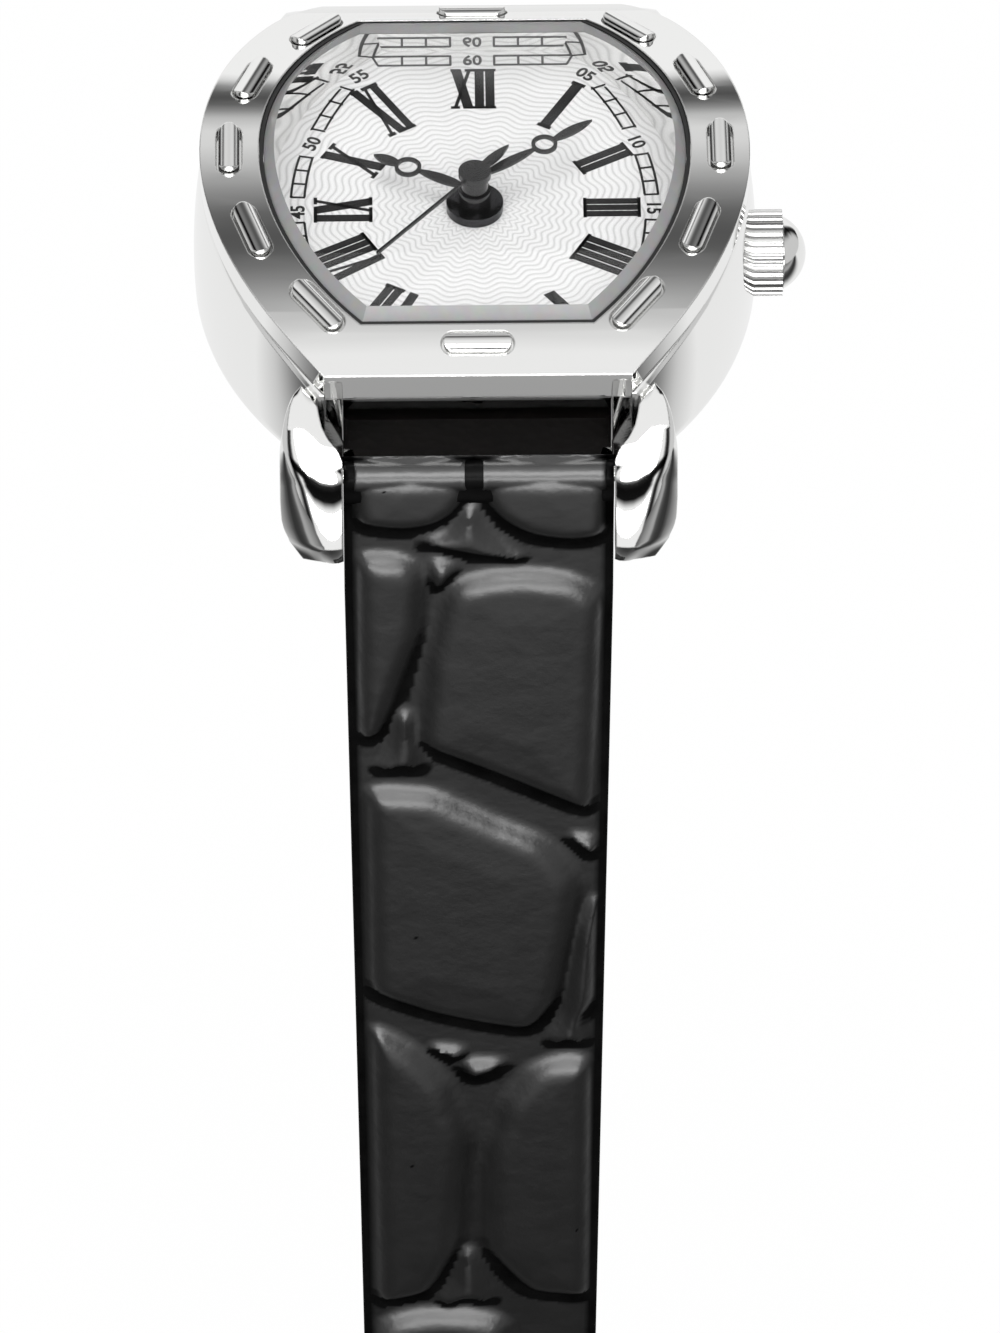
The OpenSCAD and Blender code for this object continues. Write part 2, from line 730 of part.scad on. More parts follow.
module battery() color("silver") translate([battery_x, battery_y, battery_bottom]) difference() {
  cylinder(r = battery_r, h = main_bottom - battery_bottom);
  translate([0, 0, main_bottom - battery_bottom - 0.2]) difference() {
    cylinder(r = battery_r + 1, h = 1);
    translate([0, 0, -1]) cylinder(r = battery_r - 0.5, h = 3);
  }
}

strap_spring_t = 0.2;

module battery_strap() color("gold") translate([battery_x - 3, battery_y - 1, battery_bottom - strap_spring_t])
  cube([move_half_w - battery_x + 2.9, 2, strap_spring_t]);

// Ring of moulded plastic that centres the movement and carries the dial
module movement_holder() color("white") difference() {
  translate([0, 0, holder_bottom]) tonneau(cavity_half_w - 2 * slip, cavity_half_l - 2 * slip,
    cavity_r - 2 * slip, dial_z - dial_t - holder_bottom);
  translate([0, 0, -1]) linear_extrude(main_top + 1) move_outline(-slip);
  translate([0, 0, 1]) cylinder(r = 3.8, h = 10);
  for (p = foot_places) at(p, 0) cylinder(r = foot_r + run, h = 10);
  rod_x(move_half_w - 1, 0, stem_z, crown_tube_r + slip, 10);
}

module dial() color("whitesmoke") {
  difference() {
    translate([0, 0, dial_z - dial_t])
      tonneau(cavity_half_w - slip, cavity_half_l - slip, cavity_r - slip, dial_t);
    cylinder(r = hour_pipe_r + 0.1, h = big);
  }
  for (p = foot_places) at(p, dial_z - dial_t - foot_l) cylinder(r = foot_r, h = foot_l + 0.1);
}

// Hands point to +Y before they are turned. The eye is a ring; the blade swells on both sides of it
eye_ring_w = 0.2;
hour_eye_y = 3.9;
hour_eye_r = 0.7;
minute_eye_y = 4.5;
minute_eye_r = 0.68;
hour_hub_r = 0.83;
minute_hub_r = 0.7;
second_cap_r = 0.85;
second_w = 0.15;
tail_l = 2.8;

// Slim leaf with two arcs for sides, from y0 to y1
module leaf(y0, y1, w) {
  half = (y1 - y0) / 2;
  r = (half * half + w * w / 4) / w;
  intersection() {
    translate([r - w / 2, (y0 + y1) / 2]) circle(r = r, $fn = 180);
    translate([w / 2 - r, (y0 + y1) / 2]) circle(r = r, $fn = 180);
  }
}

module eyed_hand(l, eye_y, eye_r, leaf_w) {
  difference() {
    union() {
      leaf(0.3, eye_y - eye_r + 0.25, leaf_w);
      translate([0, eye_y]) circle(r = eye_r, $fn = 48);
      leaf(eye_y + eye_r - 0.35, l, leaf_w);
    }
    translate([0, eye_y]) circle(r = eye_r - eye_ring_w, $fn = 48);
  }
}

module hour_hand() color("black") rotate([0, 0, -hour_at]) difference() {
  union() {
    translate([0, 0, hour_hand_z]) linear_extrude(hand_t) eyed_hand(hour_l, hour_eye_y, hour_eye_r, 0.6);
    translate([0, 0, hour_hand_z - 0.5]) cylinder(r = hour_hub_r, h = hand_t + 0.5);
  }
  cylinder(r = hour_pipe_r + run / 3, h = big);
}

module minute_hand() color("black") rotate([0, 0, -minute_at]) difference() {
  union() {
    translate([0, 0, minute_hand_z]) linear_extrude(hand_t) eyed_hand(minute_l, minute_eye_y, minute_eye_r, 0.55);
    translate([0, 0, minute_hand_z - 0.45]) cylinder(r = minute_hub_r, h = hand_t + 0.45);
  }
  cylinder(r = cannon_pipe_r + run / 3, h = big);
}

module second_hand() color("black") rotate([0, 0, -second_at]) difference() {
  union() {
    translate([0, 0, second_hand_z]) linear_extrude(hand_t) {
      translate([-second_w / 2, 0]) square([second_w, second_l]);
      leaf(-tail_l, 0, 0.55);
    }
    translate([0, 0, second_hand_z - 0.08]) cylinder(r = second_cap_r, h = hand_t + 0.18);
  }
  cylinder(r = second_arbor_r + run / 3, h = second_hand_z + 0.1);
}

module hub_washer() color("silver") difference() {
  translate([0, 0, dial_z]) cylinder(r = 1.48, h = 0.5);
  cylinder(r = hour_pipe_r + 0.1, h = big);
}

// Setting work: the stem's square end slides through the clutch wheel and turns it
square_x0 = 3.3;
square_w = 0.52;
square_x1 = 5.2;
groove_x = 5.6;
groove_w = 0.42;
groove_r = 0.25;
clutch_x0 = 4.3;
clutch_x1 = 5.1;
clutch_r = 0.58;
crown_bore_x = 15.2;
crown_round = 0.82;
crown_len = crown_round + crown_band;
crown_end_x = crown_x + crown_len;

module stem() color("silver") difference() {
  union() {
    translate([square_x0, -square_w / 2, stem_z - square_w / 2])
      cube([square_x1 - square_x0 + 0.1, square_w, square_w]);
    rod_x(square_x1, 0, stem_z, stem_r, crown_end_x - square_x1);
  }
  difference() {
    rod_x(groove_x - groove_w / 2, 0, stem_z, stem_r + 1, groove_w);
    rod_x(groove_x - groove_w, 0, stem_z, groove_r, 2 * groove_w);
  }
}

module clutch_wheel() color("goldenrod") translate([clutch_x0, 0, stem_z]) rotate([0, 90, 0]) difference() {
  union() {
    for (z = [0, 0.5]) translate([0, 0, z]) teeth(14, 0.073, 0.6, 0.3);
    cylinder(r = 0.43, h = clutch_x1 - clutch_x0);
  }
  bore = square_w + 2 * run;
  translate([-bore / 2, -bore / 2, -1]) cube([bore, bore, 3]);
}

// Flat lever from its post to a pin, seen from above
module flat_lever(from, to, w) {
  a = atan2(to[1] - from[1], to[0] - from[0]);
  d = norm(to - from);
  at(from, lever_z) rotate([0, 0, a]) difference() {
    union() {
      cylinder(r = lever_post_r + 0.25, h = lever_t);
      translate([0, -w / 2, 0]) cube([d, w, lever_t]);
      translate([d, 0, 0]) cylinder(r = w / 2, h = lever_t);
    }
    translate([0, 0, -1]) cylinder(r = lever_post_r + run, h = 3);
  }
}

lever_pin_r = 0.15;
lever_pin_p = [groove_x, groove_r + lever_pin_r + 0.09];
yoke_pin_r = 0.08;
yoke_pin_p = [(clutch_x0 + clutch_x1) / 2, -0.56];

module setting_lever() color("slategray") {
  flat_lever(lever_p, lever_pin_p, 0.5);
  at(lever_pin_p, lever_z) cylinder(r = lever_pin_r, h = stem_z - lever_z + 0.1, $fn = 32);
}

module yoke() color("slategray") {
  flat_lever(yoke_p, yoke_pin_p, 0.3);
  at(yoke_pin_p, lever_z) cylinder(r = yoke_pin_r, h = stem_z - lever_z, $fn = 32);
}

// Crown: rounded at the case, fluted round its band, with a domed cap
crown_hollow_r = 1.25;
flute_r = 0.17;
cap_foot_r = 1.9;
cap_h = 1.23;

module crown() color("silver") difference() {
  translate([crown_x, 0, stem_z]) rotate([0, 90, 0]) difference() {
    rotate_extrude() {
      square([crown_d / 2 - crown_round, crown_len]);
      translate([0, crown_round]) square([crown_d / 2, crown_len - crown_round]);
      translate([crown_d / 2 - crown_round, crown_round]) circle(r = crown_round);
    }
    for (i = [0:crown_flutes - 1]) rotate([0, 0, i * 360 / crown_flutes])
      translate([crown_d / 2 + flute_r / 3, 0, -1]) cylinder(r = flute_r, h = crown_len + 2, $fn = 24);
  }
  rod_x(crown_x - 1, 0, stem_z, crown_hollow_r, crown_bore_x - crown_x + 1);
  rod_x(crown_x - 1, 0, stem_z, stem_r + run / 3, 6);
}

module crown_cap() color("silver") translate([crown_end_x, 0, stem_z]) rotate([0, 90, 0]) rotate_extrude()
  intersection() {
    square([cap_foot_r, cap_h]);
    cap_r = (cap_foot_r * cap_foot_r + cap_h * cap_h) / (2 * cap_h);
    translate([0, cap_h - cap_r]) circle(r = cap_r);
  }

module crown_gasket() color("black") difference() {
  rod_x(crown_x + 0.35, 0, stem_z, crown_hollow_r - 0.01, 0.5);
  rod_x(crown_x, 0, stem_z, crown_tube_r + run, 2);
}

// Strap. Both halves are drawn hanging at 12 o'clock. The long one is mirrored to 6 o'clock,
// and the short one is swung out on its spring bar
strap_w_lug = lug_gap - 2 * strap_gap;
roll_r = strap_t / 2 + 0.15;
leather_t = strap_t - lining_t;
tunnel_r = tube_r + slip;
taper_top = -5;
taper_l = 84;
face_y = bar_y + strap_t / 2;
inner_y = bar_y - strap_t / 2;
long_tip_z = bar_z - strap_long_l;
buckle_z = bar_z - strap_short_l;
buckle_pin_r = 0.5;
tongue_slot = tongue_w + 0.5;

module swung_out() {
  translate([0, bar_y, bar_z]) rotate([short_tilt, 0, 0]) translate([0, -bar_y, -bar_z]) children();
}

// What hangs from the short half's end moves with that end and stays upright
module hung_from_end() {
  translate([0, strap_short_l * sin(short_tilt), strap_short_l * (1 - cos(short_tilt))]) children();
}

function strap_w_at(z) = strap_w_lug
  - (strap_w_lug - strap_w_end) * min(1, max(0, (taper_top - z) / taper_l));

// Plan of a strap half, looking along Y: X across, Z up, with a round tip of radius r
module strap_plan(z0, z1, tip_r) {
  w0 = strap_w_at(z0) / 2;
  top = max(z1, taper_top);
  foot = max(z0 + tip_r, taper_top - taper_l);
  difference() {
    polygon([[-w0, z0], [w0, z0], [w0, foot], [strap_w_lug / 2, taper_top], [strap_w_lug / 2, top],
      [-strap_w_lug / 2, top], [-strap_w_lug / 2, taper_top], [-w0, foot]]);
    if (tip_r > 0) difference() {
      translate([-big, z0 - 1]) square([2 * big, tip_r + 1]);
      translate([0, z0 + tip_r]) circle(r = tip_r);
    }
  }
}

module strap_half(z0, z1, y0, y1, tip_r) {
  translate([0, y1, 0]) rotate([90, 0, 0]) linear_extrude(y1 - y0) strap_plan(z0, z1, tip_r);
}

module tongue_holes() {
  for (i = [0:hole_count - 1]) translate([0, bar_y - 5, long_tip_z + hole_from_tip + i * hole_step])
    rotate([-90, 0, 0]) cylinder(r = hole_r, h = 10, $fn = 48);
}

long_tip_r = strap_w_end / 2;
buckle_strap_w = strap_w_at(buckle_z);
fold_end = 1.5;

module strap_long_leather() color([0.08, 0.08, 0.08]) mirror([0, 1, 0]) difference() {
  union() {
    strap_half(long_tip_z, bar_z, inner_y + lining_t, face_y, long_tip_r);
    rod_x(-strap_w_lug / 2, bar_y, bar_z, roll_r, strap_w_lug);
  }
  rod_x(-big / 2, bar_y, bar_z, tunnel_r, big);
  tongue_holes();
}

module strap_long_lining() color([0.15, 0.12, 0.1]) mirror([0, 1, 0]) difference() {
  strap_half(long_tip_z, bar_z - fold_end, inner_y, inner_y + lining_t, long_tip_r);
  tongue_holes();
}

module strap_short_leather() color([0.08, 0.08, 0.08]) swung_out() difference() {
  union() {
    strap_half(buckle_z, bar_z, inner_y + lining_t, face_y, 0);
    rod_x(-strap_w_lug / 2, bar_y, bar_z, roll_r, strap_w_lug);
    rod_x(-buckle_strap_w / 2, bar_y, buckle_z, roll_r, buckle_strap_w);
  }
  rod_x(-big / 2, bar_y, bar_z, tunnel_r, big);
  rod_x(-big / 2, bar_y, buckle_z, buckle_pin_r + slip, big);
  translate([-tongue_slot / 2, bar_y - 3, buckle_z - 3]) cube([tongue_slot, 6, 5.5]);
}

module strap_short_lining() color([0.15, 0.12, 0.1]) swung_out() difference() {
  strap_half(buckle_z + fold_end, bar_z - fold_end, inner_y, inner_y + lining_t, 0);
  translate([-tongue_slot / 2, bar_y - 3, buckle_z - 3]) cube([tongue_slot, 6, 5.5]);
}

// A keeper is a flat loop of leather round the strap, with room for the other half under it
keeper_slack = 0.25;
keeper_corner = 0.8;
keeper_under = 0.1;
keeper_over = 0.2;
fixed_keeper_up = 8;
keepers_apart = 4;
fixed_keeper_z = buckle_z + fixed_keeper_up;
loose_keeper_z = fixed_keeper_z + keeper_h + keepers_apart;

module keeper(z, inner_w) {
  y0 = inner_y - keeper_under;
  y1 = face_y + strap_t + keeper_over;
  w = inner_w / 2;
  translate([0, 0, z]) linear_extrude(keeper_h) difference() {
    union() {
      translate([-w - keeper_t, y0 - keeper_t + keeper_corner])
        square([2 * (w + keeper_t), y1 - y0 + 2 * (keeper_t - keeper_corner)]);
      translate([-w - keeper_t + keeper_corner, y0 - keeper_t])
        square([2 * (w + keeper_t - keeper_corner), y1 - y0 + 2 * keeper_t]);
      for (x = [-1, 1]) for (y = [y0 - keeper_t + keeper_corner, y1 + keeper_t - keeper_corner])
        translate([x * (w + keeper_t - keeper_corner), y]) circle(r = keeper_corner, $fn = 48);
    }
    translate([-w, y0]) square([2 * w, y1 - y0]);
  }
}

module keeper_fixed() color([0.1, 0.1, 0.1]) swung_out()
  keeper(fixed_keeper_z, strap_w_at(fixed_keeper_z + keeper_h) + 2 * keeper_slack);

module keeper_loose() color([0.1, 0.1, 0.1]) swung_out()
  keeper(loose_keeper_z, strap_w_at(loose_keeper_z + keeper_h + keeper_travel) + 2 * keeper_slack);

// Buckle: a bent bar with an ear at each end, on a pin through the short half's loop
frame_r = buckle_bar_d / 2;
frame_x = buckle_strap_w / 2 + keeper_slack + frame_r;
bend_r = 2;
ear_r = 1.15;
cross_z = buckle_z - buckle_l;

module buckle_bar() color("silver") hung_from_end()
  rod_x(-frame_x - frame_r / 2, bar_y, buckle_z, buckle_pin_r, 2 * frame_x + frame_r);

module buckle_frame() color("silver") hung_from_end() difference() {
  union() {
    rod_x(-frame_x + bend_r, bar_y, cross_z, frame_r, 2 * (frame_x - bend_r));
    left_and_right() {
      translate([frame_x, bar_y, cross_z + bend_r]) cylinder(r = frame_r, h = buckle_l - bend_r);
      translate([frame_x - bend_r, bar_y, cross_z + bend_r]) rotate([-90, 0, 0])
        rotate_extrude(angle = 90) translate([bend_r, 0]) circle(r = frame_r);
      rod_x(frame_x - frame_r, bar_y, buckle_z, ear_r, 2 * frame_r);
    }
  }
  rod_x(-big / 2, bar_y, buckle_z, buckle_pin_r + 0.01, big);
}

module buckle_tongue() color("silver") hung_from_end() difference() {
  union() {
    rod_x(-tongue_w / 2, bar_y, buckle_z, ear_r - 0.1, tongue_w);
    translate([-tongue_w / 2, bar_y, buckle_z]) rotate([90, 0, 90]) linear_extrude(tongue_w)
      polygon([[0.2, -0.4], [1.05, -0.1], [frame_r + 0.8, -buckle_l], [frame_r + 0.55, -buckle_l - 1],
        [frame_r + 0.2, -buckle_l - 1.4], [frame_r - 0.05, -buckle_l - 1.2], [frame_r + 0.04, -buckle_l]]);
  }
  rod_x(-big / 2, bar_y, buckle_z, buckle_pin_r + run, big);
}

case_middle();
bezel();
bezel_studs();
crystal();
crystal_gasket();
rehaut();
case_back();
back_gasket();
crown_tube();
spring_bar_tubes();
spring_bar_tips();
dial();
movement_holder();
main_plate();
train_bridge();
bridge_screws();
circuit_board();
quartz_can();
ic_chip();
coil_core();
coil_winding();
stator();
battery();
battery_strap();
yoke();
rotor();
fifth_wheel();
fourth_wheel();
third_wheel();
center_wheel();
cannon_pinion();
minute_wheel();
hour_wheel();
hour_hand();
minute_hand();
second_hand();
hub_washer();
clutch_wheel();
stem();
crown();
crown_cap();
crown_gasket();
setting_lever();
strap_long_leather();
strap_long_lining();
strap_short_leather();
strap_short_lining();
keeper_fixed();
keeper_loose();
buckle_bar();
buckle_frame();
buckle_tongue();
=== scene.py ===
"""Lady's quartz wrist watch: polished steel case, silver dial, black patent leather strap."""
import math

import bmesh
import bpy
from mathutils import Matrix, Vector


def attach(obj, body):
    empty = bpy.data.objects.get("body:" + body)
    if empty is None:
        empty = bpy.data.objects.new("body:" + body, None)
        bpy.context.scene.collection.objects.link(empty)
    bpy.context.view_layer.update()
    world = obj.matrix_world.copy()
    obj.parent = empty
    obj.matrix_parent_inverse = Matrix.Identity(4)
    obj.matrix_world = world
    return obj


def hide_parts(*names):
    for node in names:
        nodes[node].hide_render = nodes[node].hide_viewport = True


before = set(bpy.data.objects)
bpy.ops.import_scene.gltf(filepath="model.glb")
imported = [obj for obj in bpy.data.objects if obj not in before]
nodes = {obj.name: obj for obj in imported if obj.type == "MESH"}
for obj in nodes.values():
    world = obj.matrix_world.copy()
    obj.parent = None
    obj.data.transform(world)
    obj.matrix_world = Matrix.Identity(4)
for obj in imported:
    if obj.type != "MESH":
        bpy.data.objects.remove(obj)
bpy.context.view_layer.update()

MM = 0.001

# Sizes in millimetres that several pieces share, as the construction has them
BEZEL_HALF_W = 14.2
BEZEL_HALF_L = 14.35
SIDE_R = 19.4
DOME_R = 46.0
DOME_Z = 10.6 - DOME_R
# The dome turns down more tightly from this far towards 12 and 6 o'clock
END_FROM = 11.0
END_R = 11.0
OPENING_HALF_W = 11.15
OPENING_HALF_L = 11.75
OPENING_R = 15.9
DIAL_Z = 6.3
BAR_Y = 16.7
BAR_Z = 3.1
STEM_Z = 3.1
STRAP_HALF_W = 6.9
STRAP_END_HALF_W = 6.0
STRAP_TIP_Z = -100.9
SHORT_END_Z = -59.9
SHORT_TILT = math.radians(38)
# The strap narrows over this stretch
TAPER_FROM_Z = -5
TAPER_L = 84


# Colours and materials

def srgb(code):
    """A hex colour as the linear RGBA that a socket wants."""
    parts = [int(code[i:i + 2], 16) / 255 for i in (1, 3, 5)]
    return [p / 12.92 if p <= 0.04045 else ((p + 0.055) / 1.055) ** 2.4 for p in parts] + [1.0]


def add(tree, kind, settings=None, **links):
    """Adds a node. settings sets properties, sockets by name or number, and a colour ramp's stops.

    links joins sockets by name, a space written as _, or by number, as i0. A node given there stands for
    its first output.
    """
    node = tree.nodes.new("ShaderNode" + kind)
    for name, value in (settings or {}).items():
        if name == "stops":
            while len(node.color_ramp.elements) < len(value):
                node.color_ramp.elements.new(0.5)
            for element, (place, code) in zip(node.color_ramp.elements, value):
                element.position = place
                element.color = srgb(code)
        elif isinstance(name, str) and hasattr(node, name):
            setattr(node, name, value)
        else:
            node.inputs[name].default_value = value
    for name, source in links.items():
        key = int(name[1:]) if name[1:].isdigit() else name.replace("_", " ")
        tree.links.new(source.outputs[0] if isinstance(source, bpy.types.Node) else source, node.inputs[key])
    return node


def new_material(name, **settings):
    """A material with one Principled shader, whose sockets take the settings."""
    material = bpy.data.materials.new(name)
    material.use_nodes = True
    tree = material.node_tree
    shader = tree.nodes["Principled BSDF"]
    for key, value in settings.items():
        shader.inputs[key.replace("_", " ")].default_value = value
    return material, tree, shader


def polished_steel(name, colour, edge, haze):
    """Stainless steel, lapped and buffed: mirror bright, soft edges, and a faint haze from handling."""
    material, tree, shader = new_material(name, Metallic=1.0, Base_Color=srgb(colour))
    place = add(tree, "TexCoord").outputs["Object"]
    # Buffing leaves patches about 2 mm across
    patches = add(tree, "TexNoise", {"Scale": 1 / (2 * MM), "Detail": 2.0}, Vector=place)
    rough = add(tree, "MapRange", {"To Min": haze * 0.6, "To Max": haze * 1.5}, Value=patches)
    tree.links.new(rough.outputs["Result"], shader.inputs["Roughness"])
    if edge:
        rounded = add(tree, "Bevel", {"samples": 6, "Radius": edge * MM})
        tree.links.new(rounded.outputs["Normal"], shader.inputs["Normal"])
    return material


def knurled_steel(name):
    """The crown's band: bright ribs, and grooves darkened with painted shade."""
    groove_r = 2.0 * MM
    rib_height = 0.24 * MM
    material, tree, shader = new_material(name, Metallic=1.0, Roughness=0.14)
    # How far a point lies from the stem's axis
    place = add(tree, "TexCoord").outputs["Object"]
    square = add(tree, "Mapping", {"Location": (0, 0, -STEM_Z * MM), "Scale": (0, 1, 1)}, Vector=place)
    away = add(tree, "VectorMath", {"operation": "LENGTH"}, i0=square).outputs["Value"]
    height = add(tree, "Math", {"operation": "SUBTRACT", 1: groove_r}, i0=away)
    share = add(tree, "Math", {"operation": "DIVIDE", 1: rib_height}, i0=height)
    # Painted shade: the colour runs dark in the grooves and bright on the ribs
    painted_groove_shade_tones = [(0.1, "#1c1c1c"), (0.45, "#6a6a6a"), (0.8, "#efefee")]
    tone = add(tree, "ValToRGB", {"stops": painted_groove_shade_tones}, Fac=share)
    tree.links.new(tone.outputs["Color"], shader.inputs["Base Color"])
    rounded = add(tree, "Bevel", {"samples": 6, "Radius": 0.05 * MM})
    tree.links.new(rounded.outputs["Normal"], shader.inputs["Normal"])
    return material


def black_lacquer(name):
    """Hands: brass stamped and lacquered black, glossy with slight orange peel."""
    material, tree, shader = new_material(name, Base_Color=srgb("#0b0b0c"), Coat_Weight=0.4)
    place = add(tree, "TexCoord").outputs["Object"]
    # The peel is about 0.5 mm across
    peel = add(tree, "TexNoise", {"Scale": 1 / (0.5 * MM)}, Vector=place)
    rough = add(tree, "MapRange", {"To Min": 0.1, "To Max": 0.22}, Value=peel)
    tree.links.new(rough.outputs["Result"], shader.inputs["Roughness"])
    return material


def silvered_dial(name):
    """Dial: silvered brass with wavy engine turning round the centre."""
    line_gap = 0.38 * MM
    swing = 0.16 * MM
    # 22 waves go round, each about 1.6 mm long half way to the rim
    waves = 22.0
    material, tree, shader = new_material(name, Roughness=0.42)
    place = add(tree, "TexCoord").outputs["Object"]
    axes = add(tree, "SeparateXYZ", Vector=place)
    flat = add(tree, "VectorMath", {"operation": "MULTIPLY", 1: (1, 1, 0)}, i0=place)
    away = add(tree, "VectorMath", {"operation": "LENGTH"}, i0=flat).outputs["Value"]
    turn = add(tree, "Math", {"operation": "ARCTAN2"}, i0=axes.outputs["Y"], i1=axes.outputs["X"])
    around = add(tree, "Math", {"operation": "MULTIPLY", 1: waves}, i0=turn)
    wave = add(tree, "Math", {"operation": "SINE"}, i0=around)
    rings = add(tree, "Math", {"operation": "MULTIPLY_ADD", 1: swing}, i0=wave, i2=away)
    phase = add(tree, "Math", {"operation": "MULTIPLY", 1: 2 * math.pi / line_gap}, i0=rings)
    line = add(tree, "Math", {"operation": "SINE"}, i0=phase)
    height = add(tree, "Math", {"operation": "MULTIPLY_ADD", 1: 0.5, 2: 0.5}, i0=line)
    bump = add(tree, "Bump", {"Strength": 0.3, "Distance": 0.03 * MM}, Height=height)
    tree.links.new(bump.outputs["Normal"], shader.inputs["Normal"])
    # Painted shade: the colour is darker in the low lines of the engine turning and lighter on the high ones
    painted_groove_shade_tones = [(0.0, "#d9d9d9"), (0.3, "#f2f2f2"), (1.0, "#fafafa")]
    tone = add(tree, "ValToRGB", {"stops": painted_groove_shade_tones}, Fac=height)
    tree.links.new(tone.outputs["Color"], shader.inputs["Base Color"])
    return material


def dial_ink(name):
    """Pad printed black enamel ink, a thin film with a satin face and a grain of 0.15 mm."""
    material, tree, shader = new_material(name, Roughness=0.35)
    place = add(tree, "TexCoord").outputs["Object"]
    grain = add(tree, "TexNoise", {"Scale": 1 / (0.15 * MM), "Detail": 3.0}, Vector=place)
    tone = add(tree, "ValToRGB", {"stops": [(0.3, "#050505"), (0.8, "#161616")]}, Fac=grain)
    tree.links.new(tone.outputs["Color"], shader.inputs["Base Color"])
    return material


def patent_leather(name):
    """Calf leather embossed with large scales under a patent coat: deep black, soft wet highlights."""
    # The coat's IOR is above a lacquer's 1.5, because it stands for several layers and gives their shine
    material, tree, shader = new_material(name, Roughness=0.5, Specular_IOR_Level=0.0, Coat_Roughness=0.37,
                                          Coat_IOR=2.0)
    place = add(tree, "TexCoord").outputs["Object"]
    # Pores 0.35 mm apart and slow swells 1.8 mm across, both nearly filled by the coat
    pores = add(tree, "TexVoronoi", {"Scale": 1 / (0.35 * MM)}, Vector=place)
    swell = add(tree, "TexNoise", {"Scale": 1 / (1.8 * MM), "Detail": 4.0}, Vector=place)
    tone = add(tree, "ValToRGB", {"stops": [(0.3, "#040404"), (0.75, "#0b0b0b")]}, Fac=swell)
    tree.links.new(tone.outputs["Color"], shader.inputs["Base Color"])
    # Painted shade: the coat is thick on the pads and thinned to nearly nothing in the grooves, under the
    # pads' lower edges and along the rim, so these stay dark
    groove = add(tree, "Attribute", {"attribute_name": "groove"}).outputs["Fac"]
    painted_shade_coat = {"From Min": 0.2, "From Max": 0.75, "To Min": 1.0, "To Max": 0.06}
    coat = add(tree, "MapRange", painted_shade_coat, Value=groove)
    tree.links.new(coat.outputs["Result"], shader.inputs["Coat Weight"])
    low = add(tree, "Bump", {"Strength": 0.3, "Distance": 0.25 * MM}, Height=swell)
    fine = add(tree, "Bump", {"Strength": 0.05, "Distance": 0.05 * MM}, Height=pores, Normal=low)
    tree.links.new(low.outputs["Normal"], shader.inputs["Normal"])
    tree.links.new(fine.outputs["Normal"], shader.inputs["Coat Normal"])
    return material


def lining_leather(name):
    """Uncoated goatskin lining, dyed nearly black, matt and finely pebbled."""
    material, tree, shader = new_material(name, Roughness=0.72, Specular_IOR_Level=0.15)
    place = add(tree, "TexCoord").outputs["Object"]
    # Pebbles 0.45 mm across, and cloudy dye in patches of 3 mm
    pebble = add(tree, "TexVoronoi", {"Scale": 1 / (0.45 * MM)}, Vector=place)
    cloud = add(tree, "TexNoise", {"Scale": 1 / (3 * MM), "Detail": 4.0}, Vector=place)
    tone = add(tree, "ValToRGB", {"stops": [(0.3, "#0c0a09"), (0.7, "#151110")]}, Fac=cloud)
    tree.links.new(tone.outputs["Color"], shader.inputs["Base Color"])
    bump = add(tree, "Bump", {"Strength": 0.4, "Distance": 0.08 * MM}, Height=pebble)
    tree.links.new(bump.outputs["Normal"], shader.inputs["Normal"])
    return material


def mineral_glass(name):
    """Domed mineral glass: clear, with a bright surface reflection."""
    # An IOR near 1 keeps the dial in its place behind the curve, and the coat gives the reflection
    material, tree, shader = new_material(name, Roughness=0.0, IOR=1.03, Transmission_Weight=1.0,
                                          Coat_Weight=1.0, Coat_Roughness=0.0, Coat_IOR=1.3)
    rays = add(tree, "LightPath").outputs
    # Light for the dial passes straight through
    through = add(tree, "Math", {"operation": "MAXIMUM"}, i0=rays["Is Shadow Ray"], i1=rays["Is Diffuse Ray"])
    clear = add(tree, "BsdfTransparent")
    mix = add(tree, "MixShader", i0=through, i1=shader, i2=clear)
    tree.links.new(mix.outputs[0], tree.nodes["Material Output"].inputs["Surface"])
    return material


def plain(name, colour, roughness, metallic=0.0):
    """A small or hidden part's finish: even colour with a fine grain of 0.6 mm, 0.04 mm deep."""
    material, tree, shader = new_material(name, Roughness=roughness, Metallic=metallic)
    place = add(tree, "TexCoord").outputs["Object"]
    grain = add(tree, "TexNoise", {"Scale": 1 / (0.6 * MM), "Detail": 3.0}, Vector=place)
    # A colour mix has its factor at socket 0 and its two colours at 6 and 7
    uneven = {"data_type": "RGBA", "blend_type": "MULTIPLY", 0: 0.25, 6: srgb(colour)}
    mix = add(tree, "Mix", uneven, i7=grain.outputs["Color"])
    tree.links.new(mix.outputs[2], shader.inputs["Base Color"])
    bump = add(tree, "Bump", {"Strength": 0.2, "Distance": 0.04 * MM}, Height=grain)
    tree.links.new(bump.outputs["Normal"], shader.inputs["Normal"])
    return material


# Outlines that several pieces share

def dome_height(y):
    """Height of the curve that arches from 12 to 6 o'clock, with its rounder ends."""
    end_y = END_FROM * (DOME_R - END_R) / DOME_R
    end_z = DOME_Z + (DOME_R - END_R) * math.sqrt(1 - (END_FROM / DOME_R) ** 2)
    if abs(y) < END_FROM:
        return DOME_Z + math.sqrt(DOME_R ** 2 - y ** 2)
    return end_z + math.sqrt(max(END_R ** 2 - (abs(y) - end_y) ** 2, 0))


def side_x(half_w, r, y):
    """Half width of a barrel outline at a distance y from its middle."""
    return half_w - r + math.sqrt(r * r - y * y)


def all_quarters(corner):
    """A closed outline from its quarter between 3 and 12 o'clock, turned over for the other three."""
    points = []
    for sx, sy in ((1, 1), (-1, 1), (-1, -1), (1, -1)):
        turned = [(sx * x, sy * y, z) for x, y, z in corner]
        points += turned if sx == sy else turned[::-1]
    return points


